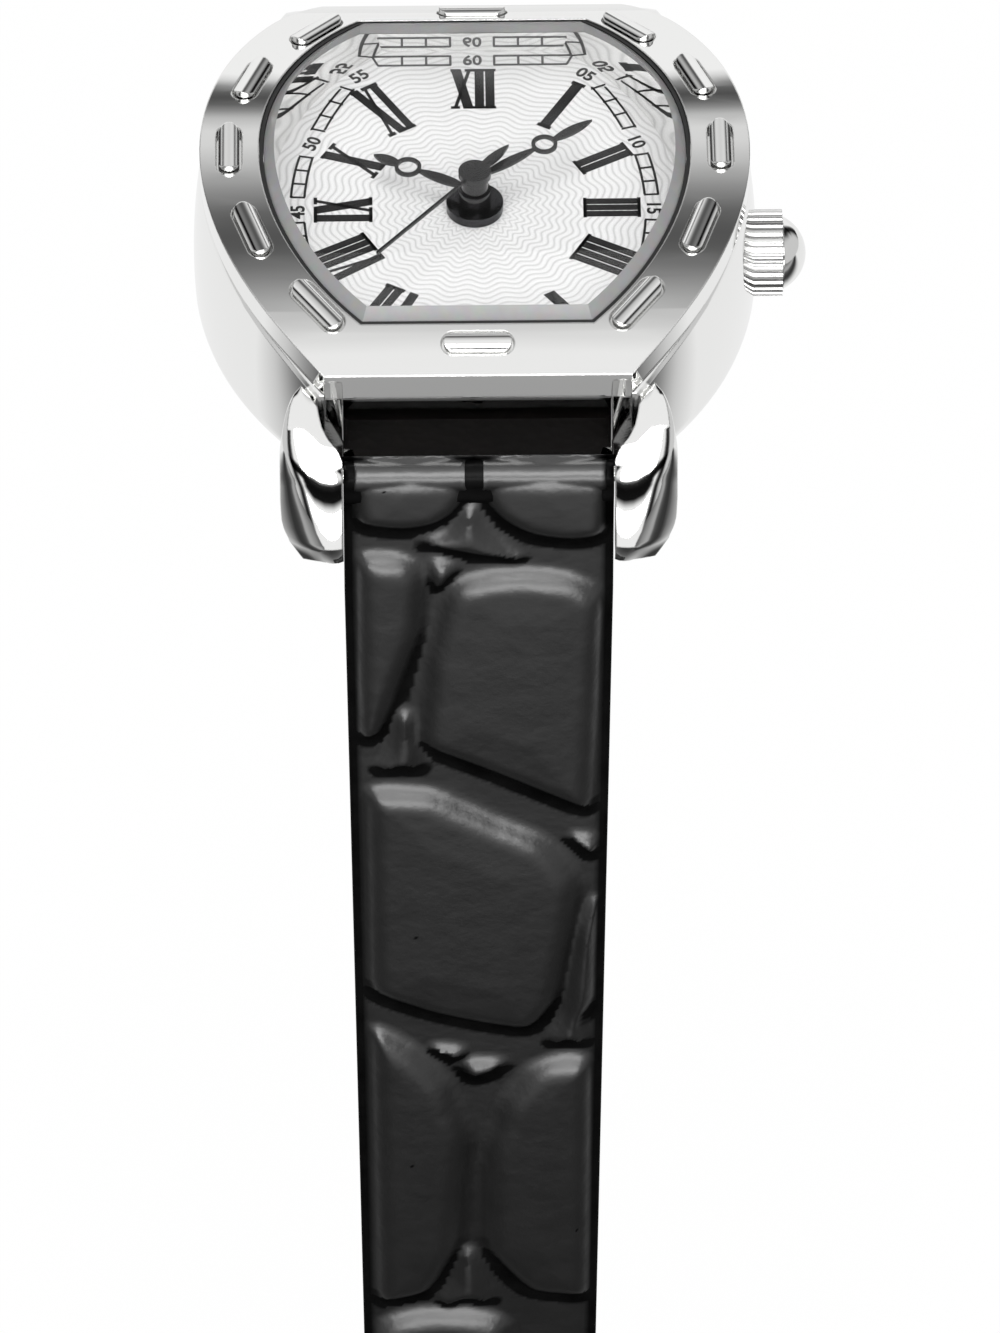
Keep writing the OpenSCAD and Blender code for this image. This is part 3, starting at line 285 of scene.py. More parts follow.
def strap_half_w(z):
    """Half width of the strap at a height z, before it is tilted."""
    return STRAP_HALF_W - (STRAP_HALF_W - STRAP_END_HALF_W) * min(1, max(0, (TAPER_FROM_Z - z) / TAPER_L))


# Ways to make and finish a shape

def loft(bm, rings, caps=True):
    """Extrudes a closed ring of points from each station to the next."""
    ring = [bm.verts.new(p) for p in rings[0]]
    edges = [bm.edges.new(pair) for pair in zip(ring, ring[1:] + ring[:1])]
    if caps:
        bmesh.ops.contextual_create(bm, geom=edges)
    for points in rings[1:]:
        made = bmesh.ops.extrude_edge_only(bm, edges=edges)["geom"]
        fresh = {v for v in made if isinstance(v, bmesh.types.BMVert)}
        ring = [next(e.other_vert(v) for e in v.link_edges if e.other_vert(v) in fresh) for v in ring]
        for vert, point in zip(ring, points):
            vert.co = point
        edges = [e for e in made if isinstance(e, bmesh.types.BMEdge) and all(v in fresh for v in e.verts)]
    if caps:
        bmesh.ops.contextual_create(bm, geom=edges)


def prism(bm, corners, low, high):
    """A flat plate with the given outline between two heights."""
    face = bm.faces.new([bm.verts.new((x, y, low)) for x, y in corners])
    made = bmesh.ops.extrude_face_region(bm, geom=[face])["geom"]
    for vert in made:
        if isinstance(vert, bmesh.types.BMVert):
            vert.co.z = high


def new_object(name, bm, materials=()):
    """Puts a shape in metres into the scene."""
    mesh = bpy.data.meshes.new(name)
    bm.to_mesh(mesh)
    bm.free()
    for material in materials:
        mesh.materials.append(material)
    made = bpy.data.objects.new(name, mesh)
    bpy.context.scene.collection.objects.link(made)
    return made


def cut_out(held, cutter_bm):
    """Takes closed cutters out of an object's mesh."""
    cutter = new_object("cutter", cutter_bm)
    cut = held.modifiers.new("cut", "BOOLEAN")
    cut.object = cutter
    cut.operation = "DIFFERENCE"
    cut.solver = "EXACT"
    bpy.context.view_layer.update()
    done = bpy.data.meshes.new_from_object(held.evaluated_get(bpy.context.evaluated_depsgraph_get()))
    held.modifiers.clear()
    held.data = done
    bpy.data.objects.remove(cutter)


def add_cylinder(bm, r, length, place, axis, segments):
    """Adds a round cutter in metres at a place in millimetres, turned from upright about an axis."""
    made = bmesh.ops.create_cone(bm, cap_ends=True, segments=segments, radius1=r * MM, radius2=r * MM,
                                 depth=length * MM)["verts"]
    bmesh.ops.rotate(bm, matrix=Matrix.Rotation(math.radians(90), 3, axis), verts=made)
    bmesh.ops.translate(bm, vec=[c * MM for c in place], verts=made)


def to_metres(bm):
    """Scales a shape from millimetres and turns its faces outwards."""
    bmesh.ops.scale(bm, vec=(MM, MM, MM), verts=bm.verts)
    bmesh.ops.recalc_face_normals(bm, faces=bm.faces)


def piece(name, bm, materials, sharp, body="case", replaced=()):
    """Turns a shape in millimetres into an object that rides on a body.

    Edges that turn by more than sharp degrees stay crisp.
    """
    to_metres(bm)
    made = new_object(name, bm, materials)
    made.data.shade_smooth()
    made.data.set_sharp_from_angle(angle=math.radians(sharp))
    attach(made, body)
    if replaced:
        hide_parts(*replaced)
    return made


# Case: a barrel shaped body with recessed ends, and four claw shaped lugs

CASE_FOOT_Z = 0.7
# The wall's top lies this far under the dome
CASE_TOP_DROP = 1.32
# The wall stands out past the bezel, most of all at one height, and falls back along an arc
CASE_PROUD = 0.4
CASE_WIDEST_Z = 3.6
CASE_BULGE_R = 35.0
# It rounds under to the case back, and steps in under the bezel
CASE_FOOT_R = 1.2
CASE_STEP = 0.14
CASE_END_HALF_W = 7.8
CASE_END_DEPTH = 1.1
CASE_BORE_HALF_W = 11.75
CASE_BORE_HALF_L = 12.55
CASE_BORE_R = 16.6
CASE_BORE_END_HALF_W = 6.0
# Shares of the wall's height, close together where it rounds under and at its step
CASE_LEVELS = [0, 0.006, 0.015, 0.03, 0.05, 0.075, 0.1, 0.13, 0.16, 0.2, 0.26, 0.34, 0.42, 0.5, 0.58, 0.66,
               0.74, 0.82, 0.9, 0.965, 0.975, 1.0]
# The crown sits in a round well in the wall
WELL_R = 2.54
WELL_L = 4
WELL_MIDDLE_X = 15.55


def case_quarter(height, half_l, width, end_half_w, end_depth):
    """A quarter of the case's outline at a share of its height: a side, then an end that may be recessed."""
    corner = []
    for k in range(31):
        y = half_l * math.sin(math.pi / 2 * k / 30)
        z = CASE_FOOT_Z + (dome_height(y) - CASE_TOP_DROP - CASE_FOOT_Z) * height
        corner.append((width(y, z), y, z))
    corner.append((end_half_w + 0.02, half_l, z))
    for share in (1, 0.66, 0.33):
        corner.append((end_half_w * share, half_l - end_depth, z))
    return corner


def wall_ring(height):
    """The wall's outside at a share of its height."""
    step = CASE_STEP if height == 1 else 0

    def width(y, z):
        out = CASE_PROUD - (z - CASE_WIDEST_Z) ** 2 / (2 * CASE_BULGE_R) - step
        under = CASE_FOOT_Z + CASE_FOOT_R - z
        if under > 0:
            out -= CASE_FOOT_R - math.sqrt(max(CASE_FOOT_R ** 2 - under ** 2, 0))
        return side_x(BEZEL_HALF_W + out, SIDE_R + out, y)

    return all_quarters(case_quarter(height, BEZEL_HALF_L, width, CASE_END_HALF_W, CASE_END_DEPTH))


def bore_ring(height):
    """The wall's inside at a share of its height."""
    def width(y, z):
        return side_x(CASE_BORE_HALF_W, CASE_BORE_R, y)

    return all_quarters(case_quarter(height, CASE_BORE_HALF_L, width, CASE_BORE_END_HALF_W, 0))


def make_case(metal):
    """The case's visible skin: a closed wall with the crown's well in it, and four lugs."""
    rings = [wall_ring(level) for level in CASE_LEVELS] + [bore_ring(1.0), bore_ring(0.0)]
    bm = bmesh.new()
    loft(bm, rings + rings[:1], caps=False)
    bmesh.ops.remove_doubles(bm, verts=bm.verts, dist=0.0005)
    to_metres(bm)
    wall = new_object("wall", bm)
    well = bmesh.new()
    add_cylinder(well, WELL_R, WELL_L, (WELL_MIDDLE_X, 0, STEM_Z), "Y", 96)
    cut_out(wall, well)
    bm = bmesh.new()
    bm.from_mesh(wall.data)
    bpy.data.objects.remove(wall)
    bmesh.ops.scale(bm, vec=(1 / MM, 1 / MM, 1 / MM), verts=bm.verts)
    for sx in (1, -1):
        for sy in (1, -1):
            add_lug(bm, sx, sy)
    return piece("case_shell", bm, [metal], 32, replaced=["case_middle"])


# A lug's side next to the strap, and its lowest point
LUG_SIDE_X = 6.95
LUG_LOW_Z = -0.68
# The front line of a lug is a large arc, then a tighter one round its tip: middle (y, z) and radius
LUG_ARC = (8.9, -3.2, 11.6)
LUG_TIP_ARC = (11.0, 3.6, 9.2)
# Along the large arc: degrees from the top, then inner edge, ridge and outer edge across the watch
LUG_LINES = [
    (27.3, 9.0, 9.03, 9.06), (29.8, 8.63, 9.4, 9.48), (32.5, 8.21, 9.6, 9.7), (35.3, 8.12, 9.7, 9.87),
    (38.3, 7.97, 9.76, 9.98), (41.2, 7.67, 9.75, 10.07), (44, 7.2, 9.7, 10.13), (46.9, 6.96, 9.55, 10.15),
    (49.7, LUG_SIDE_X, 9.36, 10.15), (52.5, LUG_SIDE_X, 9.1, 10.15), (58, LUG_SIDE_X, 8.8, 10.15),
    (64, LUG_SIDE_X, 8.46, 10.1), (67, LUG_SIDE_X, 8.32, 9.98), (69.7, LUG_SIDE_X, 8.2, 9.75)]
LUG_FROM = LUG_LINES[0][0]
LUG_TO = LUG_LINES[-1][0]
# The tip's arc starts this many degrees up from level with its middle
TIP_FROM = -18.6


def between(table, at):
    """Values at a place in a table of rows, straight from one row to the next."""
    at = min(max(at, table[0][0]), table[-1][0])
    for low, high in zip(table, table[1:]):
        if at <= high[0]:
            t = (at - low[0]) / (high[0] - low[0])
            return [a + (b - a) * t for a, b in zip(low[1:], high[1:])]


def lug_stations():
    """Along a lug: y and z of its front line, the way it faces, its three lines across, and its share.

    The share is 0 at the root, 1 where the tip begins and 2 at the tip's end.
    """
    stations = []
    for k in range(40):
        t = k / 39
        degrees = LUG_FROM + (LUG_TO - LUG_FROM) * t
        turn = math.radians(degrees)
        y, z, r = LUG_ARC
        across = between(LUG_LINES, degrees)
        stations.append((y + r * math.sin(turn), z + r * math.cos(turn), turn, across, t))
    inner, ridge, outer = LUG_LINES[-1][1:]
    for k in range(1, 10):
        t = k / 9
        a = math.radians(TIP_FROM - k)
        y, z, r = LUG_TIP_ARC
        across = (inner, ridge - 0.3 * t, outer - 0.75 * t ** 1.3)
        stations.append((y + r * math.cos(a), z + r * math.sin(a), math.pi / 2 - a, across, 1 + t))
    return stations


def add_lug(bm, sx, sy):
    """One lug: a bright front face that narrows down to a ridge, and an outer face that widens."""
    rings = []
    for y, z, turn, (inner, ridge, outer), t in lug_stations():
        along = min(t, 1)
        # How deep the two sides lie under the front line
        deep_in = 0.06 + 2.2 * min(1, (inner - LUG_SIDE_X) / 0.5)
        deep_out = ((outer - ridge) * 0.95 + 0.08) * min(1, 1.75 - 0.75 * t)
        # Across the lug from the strap's side: place, and depth under the front line
        section = [(LUG_SIDE_X, deep_in * 2.1 - 0.06), (inner - 0.02, deep_in), (inner, 0.05),
                   ((inner * 3 + ridge) / 4, -0.04), ((inner + ridge) / 2, -0.08),
                   ((inner + ridge * 3) / 4, -0.05), (ridge, 0.03),
                   (ridge * 0.66 + outer * 0.34, 0.03 + deep_out * 0.24),
                   (ridge * 0.33 + outer * 0.67, 0.03 + deep_out * 0.55), (outer, deep_out),
                   (outer + 0.02, deep_out + 0.5)]
        ring = []
        for x, deep in section:
            if x > ridge and t > 1:
                # Round the tip, the outer face turns more slowly than the front one
                turn = math.radians(LUG_TO + 25 * (t - 1))
            ring.append((sx * x, sy * (y - math.sin(turn) * deep), max(z - math.cos(turn) * deep, LUG_LOW_Z)))
        # The foot, inside the case's wall near the root and free below it
        foot_y = min(11.5 + 6.8 * along, y - 0.3)
        foot_z = 0.4 - 1.05 * min(t * 1.6, 1)
        for x in (outer - 0.12 - 0.7 * along, (outer + LUG_SIDE_X - 0.7 * along) / 2, LUG_SIDE_X):
            ring.append((sx * x, sy * foot_y, foot_z))
        rings.append(ring)
    loft(bm, rings)


# Crystal: mineral glass with a ground facet all round its rim

GASKET_W = 0.25
# Its face stands this far above the dome
CRYSTAL_PROUD = 0.3
CRYSTAL_THICK = 1.2
# Down the rim: how far in from the gasket, and how far under the face
RIM_LEVELS = [(0.55, 0.0), (0.05, 0.42), (0.0, 0.5), (0.0, CRYSTAL_THICK)]
# Points across and along the crystal's face
CRYSTAL_STEPS = {"x_segments": 20, "y_segments": 40}


def crystal_point(u, v, inset, drop):
    """Place on the crystal from shares of its half width and half length."""
    y = v * (OPENING_HALF_L - GASKET_W - inset)
    x = u * side_x(OPENING_HALF_W - GASKET_W - inset, OPENING_R - GASKET_W - inset, y)
    return Vector((x, y, dome_height(y) + CRYSTAL_PROUD - drop))


def make_crystal(glass, ground):
    """The arched crystal: a clear face and back, and a rim with a ground finish."""
    bm = bmesh.new()
    bmesh.ops.create_grid(bm, size=1, **CRYSTAL_STEPS)
    spot = {v: (v.co.x, v.co.y) for v in bm.verts}
    for v in bm.verts:
        v.co = crystal_point(*spot[v], *RIM_LEVELS[0])
    edges = [e for e in bm.edges if e.is_boundary]
    for inset, drop in RIM_LEVELS[1:]:
        made = bmesh.ops.extrude_edge_only(bm, edges=edges)["geom"]
        fresh = {v for v in made if isinstance(v, bmesh.types.BMVert)}
        for v in fresh:
            old = next(e.other_vert(v) for e in v.link_edges if e.other_vert(v) not in fresh)
            spot[v] = spot[old]
            v.co = crystal_point(*spot[v], inset, drop)
        for face in made:
            if isinstance(face, bmesh.types.BMFace):
                face.material_index = 1
        edges = [e for e in made if isinstance(e, bmesh.types.BMEdge) and all(v in fresh for v in e.verts)]
    under = bmesh.ops.create_grid(bm, size=1, **CRYSTAL_STEPS)["verts"]
    for v in under:
        v.co = crystal_point(v.co.x, v.co.y, 0, CRYSTAL_THICK)
    bmesh.ops.remove_doubles(bm, verts=bm.verts, dist=0.001)
    return piece("crystal_glass", bm, [glass, ground], 25, replaced=["crystal"])


# Rehaut: the polished wall between dial and crystal, in which the minute numbers stand mirrored

REHAUT_FOOT_Z = DIAL_Z + 0.005
REHAUT_TOP_DROP = 0.92
REHAUT_HALF_L = 12.28
REHAUT_OUTER_HALF_L = 12.5
# Half widths at the foot, at the top and outside, and how much larger their radius of curvature is
REHAUT_FOOT_HALF_W = 10.72
REHAUT_TOP_HALF_W = 11.0
REHAUT_OUTER_HALF_W = 11.68
REHAUT_R_MORE = 4.85


def rehaut_ring(half_w, half_l, height):
    """A closed barrel outline, its heights given by how far each point is from the middle."""
    corner = []
    for k in range(25):
        y = half_l * math.sin(math.pi / 2 * k / 24)
        corner.append((side_x(half_w, half_w + REHAUT_R_MORE, y), y, height(y)))
    end_x, end_y, end_z = corner[-1]
    for share in (0.66, 0.33):
        corner.append((end_x * share, end_y, end_z))
    return all_quarters(corner)


def make_rehaut(metal):
    """A closed wall that leans out a little towards its top."""
    def foot(y):
        return REHAUT_FOOT_Z

    def top(y):
        return dome_height(y) - REHAUT_TOP_DROP

    rings = [rehaut_ring(REHAUT_FOOT_HALF_W, REHAUT_HALF_L, foot),
             rehaut_ring(REHAUT_TOP_HALF_W, REHAUT_HALF_L, top),
             rehaut_ring(REHAUT_OUTER_HALF_W, REHAUT_OUTER_HALF_L, top),
             rehaut_ring(REHAUT_OUTER_HALF_W, REHAUT_OUTER_HALF_L, foot)]
    bm = bmesh.new()
    loft(bm, rings + rings[:1], caps=False)
    bmesh.ops.remove_doubles(bm, verts=bm.verts, dist=0.0005)
    return piece("rehaut_wall", bm, [metal], 30, replaced=["rehaut"])


# Dial printing

PRINT_THICK = 0.02
LETTER_W = {"I": 0.58, "V": 1.3, "X": 1.3}
# Each numeral: text, its direction in degrees from 12 o'clock, near and far end from the middle, and width
NUMERALS = [
    ("XII", 0, 7.78, 10.87, 2.35), ("I", 30, 7.25, 11.2, 0.68), ("II", 60.5, 6.2, 9.25, 1.1),
    ("III", 90, 5.62, 8.6, 1.44), ("IIII", 119, 6.1, 9.25, 2.1), ("V", 150, 7.5, 11.2, 1.45),
    ("VI", 180, 7.8, 10.9, 1.9), ("VII", 210, 7.2, 11.2, 2.2), ("VIII", 240.5, 5.9, 9.2, 2.6),
    ("IX", 270, 5.3, 8.35, 1.88), ("X", 301, 5.7, 8.95, 1.36), ("XI", 328.5, 7.05, 11.1, 1.62)]
# Each minute number: text, place, and degrees that it is turned
NUMBERS = [
    ("60", 0, 11.58, 0), ("05", 5.95, 10.4, 38), ("10", 8.5, 5.12, 64), ("15", 9.3, -0.05, 90),
    ("20", 8.5, -5.12, 116), ("25", 5.95, -10.4, 142), ("30", 0, -11.58, 180), ("35", -5.95, -10.4, 218),
    ("40", -8.5, -5.12, 244), ("45", -9.2, -0.15, 270), ("50", -8.45, 5.15, 296), ("55", -5.95, 10.4, 322)]
NUMBER_SIZE = 1.02
# How far a number's middle lies above its foot
NUMBER_MIDDLE = 0.36
# The minute track is a row of boxes between two lines, straight at the ends and curved at the sides
TRACK_LINE = 0.13
TRACK_END_Y = (11.2, 11.9)
TRACK_END_X = (1.15, 4.95)
TRACK_LEAN = 0.3
TRACK_SIDE_X = (8.85, 9.55)
TRACK_SIDE_R = 18.1
TRACK_SIDE_Y = ((0.98, 4.1), (6.2, 9.4))


def print_shape(bm, corners):
    """A flat printed shape on the dial."""
    prism(bm, corners, DIAL_Z, DIAL_Z + PRINT_THICK)


def roman(bm, text, angle, near, far, wide):
    """A Roman numeral that stands on the dial, its top towards the rim."""
    total = sum(LETTER_W[c] for c in text)
    stretch = wide / total
    turn = Matrix.Rotation(math.radians(-angle), 2)

    def put(corners):
        spots = [turn @ Vector((x * stretch, near + y * (far - near))) for x, y in corners]
        print_shape(bm, [tuple(s) for s in spots])

    def bar(foot, head, w):
        put([(foot - w / 2, 0), (foot + w / 2, 0), (head + w / 2, 1), (head - w / 2, 1)])

    def serif(x, w):
        for y, t in ((0, 0.06), (1, -0.06)):
            put([(x - w / 2, y), (x + w / 2, y), (x + w / 2, y + t), (x - w / 2, y + t)])

    def head_serif(left, right):
        put([(left, 1), (right, 1), (right, 0.97), (left, 0.97)])

    start = -total / 2
    for c in text:
        middle = start + LETTER_W[c] / 2
        if c == "I":
            bar(middle, middle, 0.5)
            serif(middle, 0.66)
        elif c == "X":
            bar(middle + 0.34, middle - 0.34, 0.56)
            bar(middle - 0.4, middle + 0.42, 0.2)
            serif(middle - 0.38, 0.5)
            serif(middle + 0.4, 0.5)
        else:
            bar(middle + 0.02, middle - 0.34, 0.56)
            bar(middle + 0.02, middle + 0.42, 0.2)
            head_serif(middle - 0.64, middle - 0.1)
            head_serif(middle + 0.16, middle + 0.66)
        start += LETTER_W[c]


def end_boxes(bm, side, up):
    """The three boxes of the minute track on one side of 60 or 30."""
    half = TRACK_LINE / 2
    low, high = TRACK_END_Y
    first, last = TRACK_END_X
    for k in range(4):
        x = first + k * (last - first) / 3
        lean = TRACK_LEAN if k == 3 else 0
        print_shape(bm, [(side * (x - half), up * low), (side * (x + half), up * low),
                         (side * (x + half + lean), up * high), (side * (x - half + lean), up * high)])
    for y, end in ((low, last + 0.03), (high, last + 0.03 + TRACK_LEAN)):
        corners = [(first - 0.04, y - half), (end, y - half), (end, y + half), (first - 0.04, y + half)]
        print_shape(bm, [(side * x, up * y) for x, y in corners])


def side_boxes(bm, side, up, start, end):
    """Three boxes of the minute track on a long side, between two numbers."""
    half = TRACK_LINE / 2
    steps = 12
    for half_w in TRACK_SIDE_X:
        for k in range(steps):
            low = start + (end - start) * k / steps
            high = start + (end - start) * (k + 1) / steps
            low_x = side_x(half_w, TRACK_SIDE_R, low)
            high_x = side_x(half_w, TRACK_SIDE_R, high)
            corners = [(low_x - half, low), (low_x + half, low), (high_x + half, high), (high_x - half, high)]
            print_shape(bm, [(side * x, up * y) for x, y in corners])
    for k in range(4):
        y = start + (end - start) * k / 3
        inner = side_x(TRACK_SIDE_X[0], TRACK_SIDE_R, y) - 0.03
        outer = side_x(TRACK_SIDE_X[1], TRACK_SIDE_R, y) + 0.03
        # A cross line stands square to the curve
        rise = y / TRACK_SIDE_R * (TRACK_SIDE_X[1] - TRACK_SIDE_X[0]) / 2
        corners = [(inner, y - half - rise), (outer, y - half + rise), (outer, y + half + rise),
                   (inner, y + half - rise)]
        print_shape(bm, [(side * x, up * y) for x, y in corners])


def minute_number(bm, text, x, y, angle):
    """A minute number in the plain built-in typeface."""
    curve = bpy.data.curves.new("number", "FONT")
    curve.body = text
    curve.align_x = "CENTER"
    curve.size = NUMBER_SIZE
    curve.extrude = PRINT_THICK / 2
    curve.offset = 0.024
    curve.resolution_u = 4
    holder = bpy.data.objects.new("number", curve)
    bpy.context.scene.collection.objects.link(holder)
    bpy.context.view_layer.update()
    flat = bpy.data.meshes.new_from_object(holder.evaluated_get(bpy.context.evaluated_depsgraph_get()))
    flat.transform(Matrix.Translation((x, y, DIAL_Z + PRINT_THICK / 2))
                   @ Matrix.Rotation(math.radians(-angle), 4, "Z")
                   @ Matrix.Translation((0, -NUMBER_MIDDLE, 0)))
    bm.from_mesh(flat)
    bpy.data.objects.remove(holder)
    bpy.data.meshes.remove(flat)
    bpy.data.curves.remove(curve)


def make_dial_print(ink):
    """Numerals, minute track and minute numbers, as a thin raised film."""
    bm = bmesh.new()
    for numeral in NUMERALS:
        roman(bm, *numeral)
    for up in (1, -1):
        for side in (1, -1):
            end_boxes(bm, side, up)
            for start, end in TRACK_SIDE_Y:
                side_boxes(bm, side, up, start, end)
    for number in NUMBERS:
        minute_number(bm, *number)
    return piece("dial_print", bm, [ink], 30)


# Strap: embossed patent leather over a soft lining

# Outlines of the raised scales on the long half, across and up in millimetres
SCALES = [
    [(-6.7, 8), (-0.55, 8), (-0.62, 1.9), (-1.7, 0.3), (-3.6, -0.3), (-6.3, 0.1)],
    [(-0.2, 8), (6.9, 8), (6.7, -0.6), (5.0, -1.1), (2.6, -0.7), (1.0, 0.5), (0.3, 1.9)],
    [(-0.4, 1.7), (0.1, -0.2), (1.4, -1.9), (2.2, -2.5), (-0.4, -2.0), (-2.9, -1.3), (-1.3, -0.5)],
    [(-6.2, -2.1), (-3.9, -2.2), (-3.0, -3.3), (-3.1, -7.5), (-5.2, -15.0), (-6.3, -15.1)],
    [(-2.3, -2.4), (-1.4, -2.9), (-1.4, -3.4), (-2.1, -4.6), (-2.5, -3.6)],
    [(-1.5, -4.3), (-0.2, -3.6), (2.6, -3.3), (5.0, -3.8), (6.3, -5.0), (6.1, -12.6), (5.8, -20.6),
     (0.8, -17.7), (-3.0, -15.7), (-2.4, -9)],
    [(-4.1, -13.4), (-3.6, -13.6), (-3.2, -17.5), (-3.9, -17.1), (-5.2, -17.6), (-4.4, -16.0)],
    [(-5.8, -18.9), (-2.6, -19.1), (0.8, -21.3), (3.2, -22.6), (4.5, -24.3), (5.1, -26), (4.8, -29.5),
     (4.0, -34.8), (2.7, -36.9), (0, -36.3), (-2.6, -35.5), (-5.7, -34)],
    [(4.7, -22.4), (6.2, -22.8), (6.1, -23.6), (5.6, -23.6)],
    [(6.2, -26.9), (5.3, -29.5), (4.8, -34), (4.7, -35.9), (3.9, -38), (4.7, -37.6), (5.5, -38.1),
     (5.2, -36.4), (6.0, -34.8)],
    [(-5.7, -36.6), (-3.5, -38.4), (-1.8, -40.9), (-0.8, -44.7), (-1.4, -54.1), (-2.7, -57.2), (-5.5, -58)],
    [(1.4, -42.2), (2.7, -39.9), (4.3, -39.1), (5.9, -39.3), (6.0, -57.6), (2.7, -57.2), (0.5, -54.1),
     (0.5, -46.3)],
    [(-0.8, -54.1), (-0.5, -54.1), (0.5, -58.2), (-0.7, -57.6), (-2.1, -58.4), (-1.3, -56.6)],
    [(-2.8, -38.2), (-0.9, -38.4), (-1.1, -39.2)],
    [(-0.9, -39.2), (1.5, -39.5), (-0.5, -40.7)]]
# The rows from this one on come again, turned over and a little narrower, this far down
REPEAT_FROM = 5
REPEAT_DROP = 55.4
REPEAT_NARROWER = 0.94
# Heights over the leather's plane and widths of a scale's rounded edge and of a groove
SCALE_HEIGHT = 0.5
SCALE_EDGE_W = 1.15
SCALE_CROWN = 0.18
SCALE_CROWN_W = 3
GROOVE_DEPTH = 0.26
GROOVE_HALF_W = 0.5
# The leather's plane stands this far out from the bar's middle, and its sides round over
FACE_OUT = 0.56
SIDE_EDGE_W = 1.15
SIDE_EDGE_DROP = 0.5
# The lining lies between these two planes, its back next to the wrist
LINING_BACK_Y = -15.6
LINING_FACE_Y = -BAR_Y + 0.3
# The leather turns over the spring bar on a roll of its own
ROLL_Y = 0.71
ROLL_Z = 2.3
ROLL_OUT = 0.55
BAR_CLEAR = 0.82
BAR_WRAP_IN = 0.75
# Rows down the strap and points across it
ROW_STEP = 0.21
ACROSS = 84
# Points across follow a sine up to this angle, so they lie closer together towards the sides
SPREAD = math.pi / 2 * 0.94


def repeated_scales():
    """The rows of scales, then the same rows turned over for the rest of the half, corners rounded."""
    shapes = list(SCALES)
    for shape in SCALES[REPEAT_FROM:]:
        shapes.append([(-x * REPEAT_NARROWER, z - REPEAT_DROP) for x, z in shape])
    for _ in range(2):
        rounder = []
        for shape in shapes:
            cut = []
            for (x0, z0), (x1, z1) in zip(shape, shape[1:] + shape[:1]):
                t = min(0.25, 0.5 / math.hypot(x1 - x0, z1 - z0))
                cut += [(x0 + (x1 - x0) * t, z0 + (z1 - z0) * t), (x1 - (x1 - x0) * t, z1 - (z1 - z0) * t)]
            rounder.append(cut)
        shapes = rounder
    return shapes


def scales_with_limits(mirrored):
    shapes = []
    for shape in repeated_scales():
        if mirrored:
            shape = [(-x, z) for x, z in shape]
        xs = [x for x, z in shape]
        zs = [z for x, z in shape]
        shapes.append((shape, (min(xs), max(xs), min(zs), max(zs))))
    return shapes


def edge_distance(x, z, shape):
    """How far a point lies inside an outline, negative outside it, and how far down the edge there faces."""
    best = 1e9
    inside = False
    for (x0, z0), (x1, z1) in zip(shape, shape[1:] + shape[:1]):
        dx = x1 - x0
        dz = z1 - z0
        t = max(0, min(1, ((x - x0) * dx + (z - z0) * dz) / (dx * dx + dz * dz)))
        away = math.hypot(x - x0 - t * dx, z - z0 - t * dz)
        if away < best:
            best = away
            down = (z0 + t * dz - z) / max(away, 1e-6)
        if (z0 > z) != (z1 > z) and x < x0 + (z - z0) * dx / dz:
            inside = not inside
    return (best, -down) if inside else (-best, down)


def scale_relief(x, z, shapes):
    """Height of the embossed leather, pads with rounded edges, and how much painted shade it takes in a
    groove or under a pad's lower edge.
    """
    near = -1
    faces_down = 0
    for shape, (left, right, low, high) in shapes:
        if left - 1 < x < right + 1 and low - 1 < z < high + 1:
            found, down = edge_distance(x, z, shape)
            if found > near:
                near = found
                faces_down = down
    # Painted shade: it starts on a pad's lower edge already, and is weak along its upper edge and far from
    # any pad
    lower = near - 0.42 * max(0, faces_down)
    shade = min(1, max(0, 0.5 - lower / 0.5)) * min(1, max(0.25, 0.3 + faces_down * 1.6))
    shade *= min(1, max(0.4, (1.15 + near) / 0.4))
    if near > 0:
        edge = 1 - (1 - min(near / SCALE_EDGE_W, 1)) ** 2
        return SCALE_HEIGHT * edge + SCALE_CROWN * min(near / SCALE_CROWN_W, 1), shade
    return -GROOVE_DEPTH * min(-near / GROOVE_HALF_W, 1) ** 0.8, shade


def strip_stations(tip_z, body_end, pointed):
    """Cross sections of one half, from behind the spring bar over the top and down to the end.

    Each is a kind, an angle or a height, and the height at which the scales' pattern is read.
    """
    stations = []
    for k in range(9):
        stations.append(("bar", math.radians(200 - 95 * k / 9), 6.5 - 0.15 * k))
    for k in range(20):
        a = math.radians(80 - 75 * k / 19)
        stations.append(("roll", a, ROLL_Z + 1.8 * a))
    z = ROLL_Z
    while z > body_end:
        stations.append(("flat", z, z))
        z -= ROW_STEP
    if pointed:
        for k in range(15):
            z = tip_z + STRAP_END_HALF_W * (1 - math.sin(math.pi / 2 * min((k + 0.1) / 14.4, 0.995)))
            stations.append(("flat", z, z))
    return stations


def strip_point(kind, value, out):
    """Place in the strap's side view of a point that stands out from its middle plane."""
    if kind == "bar":
        return -BAR_Y - math.cos(value), BAR_Z + math.sin(value)
    if kind == "flat":
        # The top leans back towards the roll
        return -BAR_Y - out + max(0, value + 1.2) ** 2 / 80, value
    y = ROLL_Y - math.cos(value) * (out + ROLL_OUT)
    z = ROLL_Z - BAR_Z + math.sin(value) * (out + ROLL_OUT)
    push = max(1, BAR_CLEAR / math.hypot(y, z))
    return -BAR_Y + y * push, BAR_Z + z * push


